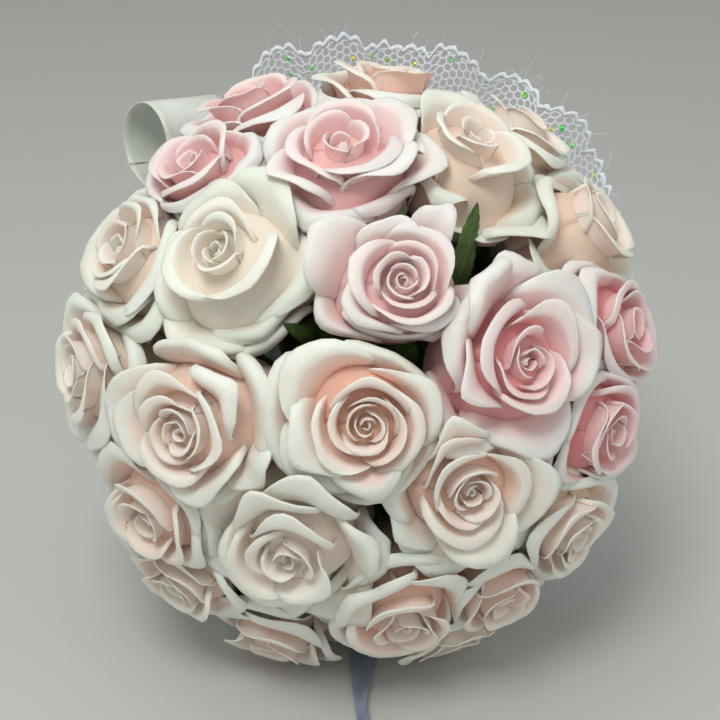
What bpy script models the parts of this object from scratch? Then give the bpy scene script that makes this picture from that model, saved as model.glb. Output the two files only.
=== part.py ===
"""A round bouquet of open garden roses, tied with satin and backed by a lace collar, lying on its side.

Everything is first built in the dome's own frame: x to the right and y up as the bouquet is seen
face on, z out of the dome along the handle's line, with the origin at the centre of the dome.
Then the whole bouquet is laid down, so that it rests on two low blooms and on the cut stem ends.
"""

import math
import random

import bmesh
import bpy
from mathutils import Vector

MM = 0.001
GAP = 0.3 * MM  # left between pieces that touch

# Dome and handle, measured from the dome's centre
BLOOM_BASE = 70 * MM
BLOOM_HEIGHT = 49 * MM
BLOOM_BACK = -9 * MM
STEM_WIDTH = 5 * MM
STEM_PITCH = 5.5 * MM
STEM_END = -196 * MM
BUNCH_TOP = -60 * MM
STEM_SIDES = 5
FAN_START = 34 * MM  # how far the stems still run straight above the bunch
FAN_END = 20 * MM  # how far below its bloom a stem points straight at it
CALYX_DEPTH = 11 * MM
WRAP_TOP = -75 * MM
WRAP_END = -180 * MM
WRAP_INNER = 17.5 * MM
WRAP_OUTER = 18.7 * MM
WRAP_TURNS = 5
WRAP_STEP = 0.4 * MM
WRAP_ROUND = 0.5 * MM
WRAP_SIDES = 18
TILT = math.radians(25.2)

# Name: angle from the dome's axis, angle round it, width across the outer petals, how open it is
ROSES = {
    "rose_01": (10, -81, 66, 1.00),
    "rose_02": (16, 61, 58, 0.86),
    "rose_03": (42, 94, 66, 0.98),
    "rose_04": (32, 141, 66, 0.80),
    "rose_05": (34, -159, 66, 0.95),
    "rose_06": (30, 1, 66, 0.95),
    "rose_07": (30, -48, 62, 0.88),
    "rose_08": (38, -110, 68, 0.92),
    "rose_09": (52, 62, 62, 0.72),
    "rose_10": (55, 154, 60, 0.92),
    "rose_11": (62, -179, 56, 0.90),
    "rose_12": (54, -143, 56, 0.95),
    "rose_13": (54, 129, 54, 0.90),
    "rose_14": (68, 112, 60, 0.85),
    "rose_15": (67, 31, 58, 0.95),
    "rose_16": (61, 8, 56, 0.88),
    "rose_17": (55, -15, 58, 1.00),
    "rose_18": (61, -38, 62, 0.85),
    "rose_19": (56, -80, 62, 0.92),
    "rose_20": (73, -107, 62, 0.90),
    "rose_21": (66, -129, 56, 0.88),
    "rose_22": (74, 84, 64, 0.80),
    "rose_23": (75, 54, 60, 0.88),
    "rose_24": (76, -72, 58, 0.85),
    "rose_25": (61, -58, 56, 0.90),
}
# Petals that stand out of their bloom: angle seen from outside, half width, extra reach, extra height
LONG_PETALS = {
    "rose_01": [(120, 45, 3, 1), (20, 30, 2, 2)],
    "rose_02": [(150, 22, 2, 3), (45, 20, 2, 3), (-95, 60, 6, -3)],
    "rose_04": [(-5, 30, 5, -1), (-80, 40, 4, -2)],
    "rose_05": [(150, 30, 4, -1), (30, 25, 3, 2)],
    "rose_06": [(130, 25, 3, 5), (-120, 25, 4, -1)],
    "rose_08": [(70, 35, 4, 1), (-60, 22, 4, 0)],
    "rose_09": [(-40, 35, 4, -3)],
    "rose_19": [(-90, 40, 5, -1)],
}
# Where one bloom presses into another: how far (mm) the first one's side of their border moves out
PRESSES = {
    ("rose_01", "rose_02"): 3.5,
    ("rose_05", "rose_01"): 1.5,
    ("rose_08", "rose_01"): 2.0,
    ("rose_06", "rose_01"): 2.5,
    ("rose_02", "rose_03"): 2.0,
    ("rose_04", "rose_02"): 2.5,
    ("rose_03", "rose_09"): 3.5,
    ("rose_06", "rose_07"): 3.5,
    ("rose_06", "rose_17"): 2.5,
    ("rose_07", "rose_18"): 2.0,
    ("rose_08", "rose_07"): 2.0,
    ("rose_08", "rose_12"): 3.0,
    ("rose_08", "rose_05"): 1.5,
    ("rose_04", "rose_05"): 1.5,
    ("rose_04", "rose_13"): 2.5,
}
PINK = ("rose_02", "rose_03", "rose_06", "rose_13", "rose_14", "rose_16", "rose_17")
CREAM = ("rose_04", "rose_09", "rose_10", "rose_11", "rose_15", "rose_18", "rose_21", "rose_23", "rose_24")

# How neighbours share the room between them
NEAR_BLOOM = 50  # degrees between the axes of blooms that can touch
NEAR_LEAF = 40
SIZE_SHARE = 0.2  # of the difference in width, by which the larger bloom moves the border
LEAST_ROOM = 0.5 * MM

COLUMNS = 15
# Share of the outer radius, share of the height, layer, how much of the petal's wave it follows
BLOOM_RINGS = (
    (0.28, 0.03, 0, 0.0),
    (0.68, 0.20, 0, 0.3),
    (0.96, 0.50, 0, 0.6),
    (1.24, 0.74, 0, 1.0),
    (1.12, 0.86, 0, 1.0),
    (0.84, 0.82, 0, 0.6),
    (0.66, 0.58, 0, 0.2),
    (0.72, 0.86, 1, 1.0),
    (0.60, 0.93, 1, 0.9),
    (0.44, 0.66, 1, 0.2),
    (0.46, 0.93, 2, 1.0),
    (0.37, 0.98, 2, 0.8),
    (0.22, 0.74, 2, 0.1),
    (0.18, 0.98, 3, 0.6),
)
LAYER_PETALS = (5, 5, 3, 3)
OUTER_RINGS = 5  # rings of the outer skin, which may lie on the surface
EYE_HEIGHT = 0.92
# A petal's middle stands further out and higher than its sides, and its leading side than the other
PETAL_REACH = (0.10, -0.07, 0.05)
PETAL_RISE = (0.06, -0.045, 0.03)
PETAL_UNEVEN = 0.6 * MM
LAYER_TURN = 0.4  # of a petal, by which each layer is turned from the one outside it

# Green cup and sepals, measured from the bloom's base
CUP_WIDEST = (-6 * MM, 5.6 * MM)
SEPAL_BACK = (-2.2 * MM, 15 * MM, 6.2 * MM)
SEPAL_FRONT = (-1.2 * MM, 15.4 * MM, 6.6 * MM)
SEPAL_POINTS = 10  # five tips and five notches

# Leaves between the blooms: direction as above, clear radius, which way they lean, lean, half width
LEAVES = {
    "leaf_01": (35, 47, 9.5, 100, 12, 6.5),
    "leaf_02": (31, 74, 5.5, 60, 6, 3.6),
    "leaf_03": (14, 150, 5.0, 150, 5, 3.2),
}
LEAF_FOOT = 64 * MM
LEAF_TIP = 107 * MM
STALK_LOW = 2.6 * MM  # half width in the bunch, where it fills its place among the stems
STALK_HIGH = 1.3 * MM
LEAF_RIB = 0.5 * MM
LEAF_FOLD = 0.16  # of the half width, by which the midrib lies deeper than the edges
LEAF_NOTCH = 0.84

# Lace collar: it flares from a neck round the stems
COLLAR_NECK = 17.8 * MM
COLLAR_NECK_Z = (-74.4 * MM, -64 * MM)
COLLAR_EDGE_Z = -15 * MM
COLLAR_SIDE_RISE = 15 * MM  # left and right, where the blooms stop short of the dome's equator
COLLAR_THICK = 0.9 * MM
COLLAR_WAVES = 16
COLLAR_RUFFLE = 4.5 * MM
COLLAR_SCALLOP = 1.5 * MM
COLLAR_DROOP = 2 * MM
COLLAR_SECTIONS = 48
COLLAR_SHARES = (0.25, 0.6, 1.0)  # rings between the neck and the edge
# Its edge: the usual radius (mm), then what is added or taken away at the top, the loop and the surface
COLLAR_RADIUS = 107
COLLAR_TOP = (72, 23)
COLLAR_LOOP = (132, -13)
COLLAR_LOW = -11

# Ribbons
SATIN_WIDTH = 38
RIBBON_THICK = 0.8 * MM
BAND_Z = (-92 * MM, -80 * MM)
BAND_THICK = 1.0 * MM
BAND_SECTIONS = 20
KNOT_HEIGHT = 7 * MM
KNOT_ANGLE = 90  # the knot is on top of the handle
KNOT_SPREAD = 24
KNOT_EDGE = 2 * MM
LOOP_CENTRE = (-76, 98, -34)
LOOP_RADIUS = 15
LOOP_START = -60
LOOP_TURN = 300
LOOP_STEPS = 8
LEG_WIDTHS = [9, 22]
TAIL_WIDTH = 10 * MM
TAIL_X = 2.5 * MM
TAIL_TWIST = (0.45, 0, 0.89)
TAIL_CLEAR = 6.2 * MM

# How the low blooms give way to the surface
SOFT_DEPTH = 9 * MM
FLAT_DEPTH = 2.6 * MM

COLOURS = {
    "petal_blush": (0.86, 0.66, 0.58),
    "petal_pink": (0.84, 0.52, 0.52),
    "petal_cream": (0.85, 0.76, 0.58),
    "stem_green": (0.10, 0.19, 0.05),
    "leaf_green": (0.05, 0.12, 0.03),
    "lace_white": (0.78, 0.80, 0.84),
    "satin_ivory": (0.74, 0.77, 0.72),
    "narrow_ribbon": (0.45, 0.50, 0.62),
}


def clear_scene():
    for old in list(bpy.data.objects):
        bpy.data.objects.remove(old)


def material(slot):
    made = bpy.data.materials.get(slot)
    if made is None:
        made = bpy.data.materials.new(slot)
        made.use_nodes = True
        shader = made.node_tree.nodes["Principled BSDF"]
        shader.inputs["Base Color"].default_value = (*COLOURS[slot], 1)
        shader.inputs["Roughness"].default_value = 0.3 if "satin" in slot else 0.6
        shader.inputs["Metallic"].default_value = 0
    return made


def direction(polar, round_axis):
    polar = math.radians(polar)
    round_axis = math.radians(round_axis)
    flat = math.sin(polar)
    return Vector((flat * math.cos(round_axis), flat * math.sin(round_axis), math.cos(polar)))


def side_axes(axis):
    """Right and up across an axis, as seen from outside the dome."""
    right = Vector((0, 1, 0)).cross(axis).normalized()
    return right, axis.cross(right)


def turned(axis, angle):
    right, up = side_axes(axis)
    return right * math.cos(angle) + up * math.sin(angle)


def smooth(share):
    share = min(max(share, 0), 1)
    return share * share * (3 - 2 * share)


def loft(rings, around=False, rising=None):
    """Points and faces of the closed skin through the rings. A ring of one point is a tip.

    Each four-sided patch is split so that the two faces of a thin wall are split alike: by which half
    of the ring it is in, or by whether its band rises.
    """
    points = [point for ring in rings for point in ring]
    starts = [sum(len(ring) for ring in rings[:i]) for i in range(len(rings))]
    faces = []
    pairs = list(zip(range(len(rings)), range(1, len(rings))))
    if around:
        pairs.append((len(rings) - 1, 0))
    for band, (low, high) in enumerate(pairs):
        few, many = len(rings[low]), len(rings[high])
        a, b = starts[low], starts[high]
        if few == many:
            for i in range(few):
                j = (i + 1) % few
                if rising[band] if rising else i < few / 2:
                    faces += [(a + i, a + j, b + j), (a + i, b + j, b + i)]
                else:
                    faces += [(a + i, a + j, b + i), (a + j, b + j, b + i)]
        elif few == 1:
            faces += [(a, b + (i + 1) % many, b + i) for i in range(many)]
        elif many == 1:
            faces += [(a + i, a + (i + 1) % few, b) for i in range(few)]
        else:
            for i in range(few):
                j = (i + 1) % few
                faces.append((a + i, b + 2 * i + 1, b + 2 * i))
                faces.append((a + i, a + j, b + 2 * i + 1))
                faces.append((a + j, b + (2 * i + 2) % many, b + 2 * i + 1))
    if not around:
        for ring, start in ((rings[0], starts[0]), (rings[-1], starts[-1])):
            if len(ring) > 1:
                faces.append(tuple(range(start, start + len(ring))))
    return points, faces


def add_solid(name, shape, slot):
    points, faces = shape
    mesh = bpy.data.meshes.new(name)
    mesh.from_pydata(points, [], faces)
    shell = bmesh.new()
    shell.from_mesh(mesh)
    bmesh.ops.recalc_face_normals(shell, faces=shell.faces)
    if shell.calc_volume(signed=True) < 0:
        bmesh.ops.reverse_faces(shell, faces=shell.faces)
    shell.to_mesh(mesh)
    shell.free()
    mesh.shade_smooth()
    mesh.set_sharp_from_angle(angle=math.radians(60))
    mesh.materials.append(material(slot))
    made = bpy.data.objects.new(name, mesh)
    bpy.context.scene.collection.objects.link(made)
    return made


def room_of(name):
    """The planes that a bloom stays inside, as outward normals and distances from the centre."""
    polar, round_axis, width, _ = ROSES[name]
    axis = direction(polar, round_axis)
    planes = [(Vector((0, 0, -1)), -BLOOM_BACK)]
    for other, (other_polar, other_round, other_width, _) in ROSES.items():
        away = direction(other_polar, other_round)
        if other == name or axis.angle(away) > math.radians(NEAR_BLOOM):
            continue
        pressed = PRESSES.get((name, other), 0) - PRESSES.get((other, name), 0)
        shift = ((width - other_width) * SIZE_SHARE + pressed) * MM
        planes.append(((away - axis).normalized(), shift - GAP / 2))
    for leaf_polar, leaf_round, clear, *_ in LEAVES.values():
        leaf_axis = direction(leaf_polar, leaf_round)
        if axis.angle(leaf_axis) > math.radians(NEAR_LEAF):
            continue
        towards = -(axis - leaf_axis * axis.dot(leaf_axis)).normalized()
        planes.append((towards, -clear * MM))
    if name == "rose_20":
        planes.append((Vector((1, 0, 0)), TAIL_X - TAIL_CLEAR))
    if name == "rose_24":
        planes.append((Vector((-1, 0, 0)), -TAIL_X - TAIL_CLEAR))
    return planes


def squeeze(planes, point, way, reach):
    """How far a petal gets along way from a point on its bloom's axis before its neighbours stop it."""
    room = 1.0
    for normal, distance in planes:
        slope = normal.dot(way)
        if slope > 0.02:
            room = min(room, max((distance - normal.dot(point)) / slope, LEAST_ROOM))
    return reach / (1 + (reach / room) ** 4) ** 0.25


def long_petal(name, angle):
    """Extra reach and height of the outer petals at this angle."""
    out = up = 0
    for centre, half_width, more_out, more_up in LONG_PETALS.get(name, ()):
        off = (math.degrees(angle) - centre + 180) % 360 - 180
        share = math.exp(-((off / half_width) ** 2))
        out += more_out * MM * share
        up += more_up * MM * share
    return out, up


def bloom(name):
    """One rose: rings run up the outer petals, over their rolled edge and down between the layers."""
    polar, round_axis, width, openness = ROSES[name]
    axis = direction(polar, round_axis)
    planes = room_of(name)
    radius = width / 2 * MM
    chance = random.Random(name)
    spin = chance.uniform(0, 2 * math.pi)
    rings = [[axis * BLOOM_BASE]]
    for share, height, layer, wave in BLOOM_RINGS:
        inner = openness if layer else 1
        petals = LAYER_PETALS[layer]
        ring = []
        for column in range(COLUMNS):
            angle = spin + 2 * math.pi * column / COLUMNS
            along = (column * petals / COLUMNS + LAYER_TURN * layer + 1e-6) % 1
            crown = math.sin(math.pi * along)
            lap = along - 0.5
            wave_out = PETAL_REACH[0] * crown + PETAL_REACH[1] + PETAL_REACH[2] * lap
            wave_up = PETAL_RISE[0] * crown + PETAL_RISE[1] + PETAL_RISE[2] * lap
            reach = radius * (share * inner + wave * wave_out)
            up = BLOOM_HEIGHT * (height + wave * wave_up)
            if layer == 0:
                out, rise = long_petal(name, angle)
                reach += out * wave
                up += rise * wave
            up += wave * chance.uniform(-PETAL_UNEVEN, PETAL_UNEVEN)
            foot = axis * (BLOOM_BASE + up)
            way = turned(axis, angle)
            ring.append(foot + way * squeeze(planes, foot, way, reach))
        rings.append(ring)
    rings.append([axis * (BLOOM_BASE + BLOOM_HEIGHT * EYE_HEIGHT)])
    heights = [0] + [height for _, height, _, _ in BLOOM_RINGS] + [EYE_HEIGHT]
    return loft(rings, rising=[b > a for a, b in zip(heights, heights[1:])])


def stem_slots():
    """Places in the bunch, a stem pitch apart, from the middle out."""
    places = []
    for row in range(-4, 5):
        for column in range(-4, 5):
            x = (column + row / 2) * STEM_PITCH
            y = row * STEM_PITCH * math.sqrt(3) / 2
            places.append((x, y))
    places.sort(key=lambda place: (round(math.hypot(*place) / MM, 3), math.atan2(place[1], place[0])))
    return places


def stem_places():
    """Gives each stem the place in the bunch that keeps stems from crossing on their way up."""
    spots = {name: direction(*row[:2]) for name, row in {**ROSES, **LEAVES}.items()}
    names = list(spots)
    slots = stem_slots()[: len(names)]
    reach = max(math.hypot(*slot) for slot in slots)
    wanted = [(spots[name].x * reach, spots[name].y * reach) for name in names]

    def cost(i, slot):
        return (wanted[i][0] - slot[0]) ** 2 + (wanted[i][1] - slot[1]) ** 2

    better = True
    while better:
        better = False
        for i in range(len(names)):
            for j in range(i):
                now = cost(i, slots[i]) + cost(j, slots[j])
                if cost(i, slots[j]) + cost(j, slots[i]) < now - 1e-12:
                    slots[i], slots[j] = slots[j], slots[i]
                    better = True
    return {name: Vector((slot[0], slot[1], 0)) for name, slot in zip(names, slots)}


def stem_path(axis, top, slot, steps):
    """Points from the cut end to the top, straight in the bunch and then fanning out."""
    start = slot + Vector((0, 0, BUNCH_TOP))
    end = axis * top
    near = start + Vector((0, 0, FAN_START))
    far = end - axis * FAN_END
    points = [slot + Vector((0, 0, STEM_END))]
    for i in range(steps + 1):
        t = i / steps
        points.append(
            start * (1 - t) ** 3 + near * 3 * t * (1 - t) ** 2 + far * 3 * t * t * (1 - t) + end * t**3
        )
    return points


def path_ways(points):
    ways = []
    for i in range(len(points)):
        before = points[max(i - 1, 0)]
        after = points[min(i + 1, len(points) - 1)]
        ways.append((after - before).normalized())
    return ways


def stem(name, slot):
    """One rose's stem with its green cup and five sepals under the bloom."""
    axis = direction(*ROSES[name][:2])
    planes = room_of(name)
    path = stem_path(axis, BLOOM_BASE - CALYX_DEPTH, slot, 4)
    ways = path_ways(path)
    ways[-1] = axis
    spin = random.Random(name).uniform(0, 2 * math.pi)
    rings = []
    for point, way in zip(path, ways):
        rings.append([
            point + turned(way, spin + 2 * math.pi * i / STEM_SIDES) * STEM_WIDTH / 2
            for i in range(STEM_SIDES)
        ])

    def star(height, tip, notch):
        ring = []
        for i in range(SEPAL_POINTS):
            way = turned(axis, spin + 2 * math.pi * i / SEPAL_POINTS)
            foot = axis * (BLOOM_BASE + height)
            ring.append(foot + way * squeeze(planes, foot, way, notch if i % 2 else tip))
        return ring

    rings.append(star(CUP_WIDEST[0], CUP_WIDEST[1], CUP_WIDEST[1]))
    rings.append(star(*SEPAL_BACK))
    rings.append(star(*SEPAL_FRONT))
    rings.append([axis * (BLOOM_BASE - GAP)])
    return loft(rings)


def leaf(name, slot):
    """A leaf on its own stalk: a ribbed blade with saw teeth, leaning across a gap between blooms."""
    polar, round_axis, _, lean_way, lean, half_width = LEAVES[name]
    axis = direction(polar, round_axis)
    lean_axis = turned(axis, math.radians(lean_way))
    across = axis.cross(lean_axis)
    path = stem_path(axis, LEAF_FOOT, slot, 4)
    rings = []
    for point, way in zip(path, path_ways(path)):
        side = (across - way * across.dot(way)).normalized()
        flat = way.cross(side)
        wide = STALK_LOW if point.z < BUNCH_TOP + 1 * MM else STALK_HIGH
        rings.append([point + side * wide, point + flat * wide, point - side * wide, point - flat * wide])
    teeth = 7 if half_width > 5 else 5
    for i in range(1, 2 * teeth):
        along = i / (2 * teeth)
        height = LEAF_FOOT + (LEAF_TIP - LEAF_FOOT) * along
        centre = axis * height + lean_axis * lean * MM * (smooth(along) - 0.45)
        outline = math.sin(math.pi * along**0.8) ** 0.8
        wide = half_width * MM * outline * (LEAF_NOTCH if i % 2 else 1.0) + 0.4 * MM
        fold = LEAF_FOLD * wide
        side_ends = [centre + across * wide, centre - across * wide]
        rib = lean_axis * LEAF_RIB
        crease = centre - lean_axis * fold
        rings.append([side_ends[0], crease - rib, side_ends[1], crease + rib])
    rings.append([axis * LEAF_TIP + lean_axis * lean * MM * 0.6])
    return loft(rings)


def collar_edge(angle):
    """Radius of the lace at this angle: widest above, narrow where it would meet the surface."""
    top_angle, top_more = COLLAR_TOP
    loop_angle, loop_more = COLLAR_LOOP
    off_top = abs((math.degrees(angle) - top_angle + 180) % 360 - 180)
    off_loop = abs((math.degrees(angle) - loop_angle + 180) % 360 - 180)
    wide = smooth((70 - off_top) / 32)
    loop_side = smooth((45 - off_loop) / 25)
    low = smooth((-math.sin(angle) - 0.55) / 0.35)
    return (COLLAR_RADIUS + top_more * wide + loop_more * loop_side + COLLAR_LOW * low) * MM


def lace_collar():
    """A funnel of lace, ruffled and scalloped at its edge, gathered to a neck round the stems."""
    sections = []
    for i in range(COLLAR_SECTIONS):
        angle = 2 * math.pi * i / COLLAR_SECTIONS
        edge = collar_edge(angle)
        line = [(COLLAR_NECK, COLLAR_NECK_Z[0]), (COLLAR_NECK, COLLAR_NECK_Z[1])]
        for share in COLLAR_SHARES:
            ruffle = math.sin(COLLAR_WAVES * angle) * COLLAR_RUFFLE * share
            radius = COLLAR_NECK + (edge - COLLAR_NECK) * share
            edge_z = COLLAR_EDGE_Z + COLLAR_SIDE_RISE * math.cos(angle) ** 2
            depth = COLLAR_NECK_Z[1] + (edge_z - COLLAR_NECK_Z[1]) * share**0.8
            scallop = COLLAR_SCALLOP * math.cos(COLLAR_WAVES * 1.5 * angle) * share**4
            line.append((radius + scallop, depth + ruffle - COLLAR_DROOP * share))
        front, back = [], []
        for k, (radius, depth) in enumerate(line):
            before = Vector(line[max(k - 1, 0)])
            after = Vector(line[min(k + 1, len(line) - 1)])
            way = (after - before).normalized()
            thick = Vector((-way.y, way.x)) * COLLAR_THICK / 2
            front.append((radius + thick.x, depth + thick.y))
            back.append((radius - thick.x, depth - thick.y))
        loop = front + back[::-1]
        sections.append([
            Vector((radius * math.cos(angle), radius * math.sin(angle), depth)) for radius, depth in loop
        ])
    return loft(sections, around=True)


def turned_ring(profile, count):
    sections = []
    for i in range(count):
        angle = 2 * math.pi * i / count
        sections.append([
            Vector((radius * math.cos(angle), radius * math.sin(angle), z)) for radius, z in profile
        ])
    return loft(sections, around=True)


def handle_wrap():
    """Satin wound round the stems; each turn steps over the one below."""
    pitch = (WRAP_TOP - WRAP_END) / WRAP_TURNS
    outline = [(WRAP_INNER, WRAP_TOP), (WRAP_INNER, WRAP_END)]
    for i in range(WRAP_TURNS):
        low = WRAP_END + i * pitch
        outline.append((WRAP_OUTER - WRAP_STEP, low))
        outline.append((WRAP_OUTER, low + pitch - WRAP_ROUND * (i < WRAP_TURNS - 1)))
    return turned_ring(outline, WRAP_SIDES)


def bow_knot():
    """The band of the bow round the handle, with the knot on top of it."""
    sections = []
    inner = WRAP_OUTER + GAP
    middle = sum(BAND_Z) / 2
    for i in range(BAND_SECTIONS):
        angle = 2 * math.pi * i / BAND_SECTIONS
        off_top = (math.degrees(angle) - KNOT_ANGLE + 180) % 360 - 180
        knot = math.exp(-((off_top / KNOT_SPREAD) ** 2))
        outer = inner + BAND_THICK + KNOT_HEIGHT * knot
        half = (BAND_Z[1] - BAND_Z[0]) / 2 * (1 + 0.1 * knot)
        profile = [
            (inner, middle + half),
            (inner, middle - half),
            (outer - KNOT_EDGE * knot, middle - half),
            (outer, middle),
            (outer - KNOT_EDGE * knot, middle + half),
        ]
        sections.append([
            Vector((radius * math.cos(angle), radius * math.sin(angle), z)) for radius, z in profile
        ])
    return loft(sections, around=True)


def through(points, share):
    """A point on the smooth curve through hand-picked points."""
    span = share * (len(points) - 1)
    i = min(int(span), len(points) - 2)
    t = span - i
    p0, p1, p2, p3 = (points[min(max(k, 0), len(points) - 1)] for k in (i - 1, i, i + 1, i + 2))
    return 0.5 * (
        2 * p1 + (p2 - p0) * t + (2 * p0 - 5 * p1 + 4 * p2 - p3) * t * t
        + (3 * p1 - p0 - 3 * p2 + p3) * t**3
    )


def ribbon(route, sides, widths, steps, surface=-1.0):
    """A flat ribbon along a route. Sides say which way its width lies, widths how wide it is."""
    route = [Vector(point) * MM for point in route]
    sides = [Vector(side) for side in sides]
    widths = [Vector((width * MM, 0, 0)) for width in widths]
    centres = [through(route, i / steps) for i in range(steps + 1)]
    rings = []
    for i, (centre, way) in enumerate(zip(centres, path_ways(centres))):
        side = through(sides, i / steps)
        side = (side - way * side.dot(way)).normalized()
        flat = way.cross(side) * RIBBON_THICK / 2
        half = side * through(widths, i / steps).x / 2
        centre.z = max(centre.z, surface + abs(half.z) + abs(flat.z))
        rings.append([centre + half + flat, centre + half - flat, centre - half - flat, centre - half + flat])
    for point in (point for ring in rings for point in ring):
        point.z = max(point.z, surface)
    return loft(rings)


def bow_loop_left():
    """The loop that shows past the upper left blooms, open towards the left."""
    centre = Vector(LOOP_CENTRE)
    loop = []
    for step in range(LOOP_STEPS + 1):
        angle = math.radians(LOOP_START + LOOP_TURN * step / LOOP_STEPS)
        out = Vector((0, -1, 0)) * math.cos(angle) + Vector((0.6, 0, 0.8)) * math.sin(angle)
        loop.append(centre + LOOP_RADIUS * out)
    route = [(-9.8, 21.1, -84), (-33, 50, -72)] + loop + [(-40, 50, -80), (-9.8, 21.1, -88)]
    open_way = (-0.8, 0.0, 0.6)
    leg_way = (0.23, -0.25, 0.87)
    sides = [leg_way, leg_way] + [open_way] * len(loop) + [leg_way, leg_way]
    widths = LEG_WIDTHS + [SATIN_WIDTH] * len(loop) + LEG_WIDTHS[::-1]
    return ribbon(route, sides, widths, 26)


def bow_loop_right():
    """The bow's other loop, out of sight behind the dome."""
    route = [(9.8, 21.1, -84), (32, 38, -76), (58, 54, -64), (80, 66, -52), (92, 72, -54), (94, 70, -66),
             (82, 60, -80), (58, 48, -90), (32, 36, -93), (9.8, 21.1, -88)]
    side = (-0.55, 0.8, 0.1)
    widths = LEG_WIDTHS + [34] + [SATIN_WIDTH] * 4 + [34] + LEG_WIDTHS[::-1]
    return ribbon(route, [side] * len(route), widths, 24)


def lay(point, drop):
    """Turns a point of the dome's frame to the way the bouquet lies."""
    return Vector((
        point.x,
        -point.z * math.cos(TILT) + point.y * math.sin(TILT),
        point.z * math.sin(TILT) + point.y * math.cos(TILT) - drop,
    ))


def settle(z, sunk):
    """Height of a soft petal that would otherwise reach below the surface."""
    if z >= SOFT_DEPTH:
        return z
    share = max(z + sunk, 0) / (SOFT_DEPTH + sunk)
    return SOFT_DEPTH * share ** ((SOFT_DEPTH + sunk) / SOFT_DEPTH)


def ribbon_tail(drop):
    """The narrow ribbon: it drops from the band to the surface and runs out under the dome."""
    hang = lay(Vector((TAIL_X, -WRAP_OUTER - GAP - BAND_THICK - 2 * GAP, -86 * MM)), drop) / MM
    lie = RIBBON_THICK / MM / 2
    x = TAIL_X / MM
    route = [
        (hang.x, hang.y, hang.z),
        (x, hang.y + 3, hang.z * 0.72),
        (x - 2, hang.y + 6, hang.z * 0.38),
        (x - 1, hang.y - 4, 5),
        (x, hang.y - 24, lie),
        (x + 0.5, 20, lie),
        (x, -20, lie),
        (x, -60, lie),
        (x - 1, -90, lie),
        (x + 2, -116, lie),
        (x + 7, -138, lie),
    ]
    sides = [(1, 0, 0)] * 7 + [(0.95, 0, 0.3), TAIL_TWIST, TAIL_TWIST, (0.7, 0, 0.7)]
    widths = [9] + [TAIL_WIDTH / MM] * (len(route) - 1)
    return ribbon(route, sides, widths, 30, surface=0)


def lowest(shapes, drop=0.0):
    return min(lay(point, drop).z for points, _ in shapes for point in points)


def build():
    clear_scene()
    places = stem_places()
    blooms = {name: bloom(name) for name in ROSES}
    stems = {name.replace("rose", "stem"): stem(name, places[name]) for name in ROSES}
    leaves = {name: leaf(name, places[name]) for name in LEAVES}
    drop = lowest(stems.values())
    sunk = -lowest(blooms.values(), drop)
    print(f"low blooms give way by {sunk / MM:.2f} mm")
    shapes = {}
    for name, (points, faces) in blooms.items():
        laid = [lay(point, drop) for point in points]
        for point in laid:
            point.z = settle(point.z, sunk)
        for point in laid[: 1 + COLUMNS * OUTER_RINGS]:
            if point.z < FLAT_DEPTH:
                point.z = 0
        slot = "petal_pink" if name in PINK else "petal_cream" if name in CREAM else "petal_blush"
        shapes[name] = (laid, faces, slot)
    others = {
        **{name: (shape, "stem_green") for name, shape in stems.items()},
        **{name: (shape, "leaf_green") for name, shape in leaves.items()},
        "lace_collar": (lace_collar(), "lace_white"),
        "handle_wrap": (handle_wrap(), "satin_ivory"),
        "bow_knot": (bow_knot(), "satin_ivory"),
        "bow_loop_left": (bow_loop_left(), "satin_ivory"),
        "bow_loop_right": (bow_loop_right(), "satin_ivory"),
    }
    for name, ((points, faces), slot) in others.items():
        shapes[name] = ([lay(point, drop) for point in points], faces, slot)
    shapes["ribbon_tail"] = (*ribbon_tail(drop), "narrow_ribbon")
    everything = [point for points, _, _ in shapes.values() for point in points]
    middle = [
        (min(point[k] for point in everything) + max(point[k] for point in everything)) / 2 for k in (0, 1)
    ]
    shift = Vector((middle[0], middle[1], min(point.z for point in everything)))
    print("shift", [round(value / MM, 2) for value in shift], "drop", round(drop / MM, 2))
    for name, (points, faces, slot) in shapes.items():
        add_solid(name, ([point - shift for point in points], faces), slot)


build()
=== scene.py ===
"""Looks of a round bouquet of open garden roses, backed by a lace collar and tied with satin, on its side.

Shapes are worked out in the dome's own frame, as in the part's source: x to the right and y up as the
bouquet is seen face on, z out of the dome, origin at the dome's centre. DOME turns them to the row frame.
"""

import math
import random

import bmesh
import bpy
from mathutils import Matrix, Vector, noise


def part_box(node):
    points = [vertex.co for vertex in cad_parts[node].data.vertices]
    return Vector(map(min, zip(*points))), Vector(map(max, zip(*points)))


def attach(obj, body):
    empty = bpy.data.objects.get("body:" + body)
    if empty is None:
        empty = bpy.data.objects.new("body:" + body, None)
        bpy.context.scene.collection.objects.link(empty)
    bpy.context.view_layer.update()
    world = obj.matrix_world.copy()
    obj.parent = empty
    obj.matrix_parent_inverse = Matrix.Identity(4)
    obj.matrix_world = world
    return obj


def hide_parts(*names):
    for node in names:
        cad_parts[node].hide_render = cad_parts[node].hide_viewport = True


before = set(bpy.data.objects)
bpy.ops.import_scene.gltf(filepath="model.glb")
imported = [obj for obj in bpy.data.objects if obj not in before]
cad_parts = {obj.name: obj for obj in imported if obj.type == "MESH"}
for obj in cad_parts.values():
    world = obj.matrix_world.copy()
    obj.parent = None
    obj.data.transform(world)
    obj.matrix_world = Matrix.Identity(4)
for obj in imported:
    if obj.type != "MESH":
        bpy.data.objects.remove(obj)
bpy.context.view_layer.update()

MM = 0.001
TILT = math.radians(25.2)
FACE_ON = Vector((0, -math.cos(TILT), math.sin(TILT)))
WRAP_MIDDLE = -127.5 * MM
wrap_low, wrap_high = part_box("handle_wrap")
DOME_CENTRE = (wrap_low + wrap_high) / 2 - FACE_ON * WRAP_MIDDLE
PHOTO_UP = Vector((0, math.sin(TILT), math.cos(TILT)))
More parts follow.
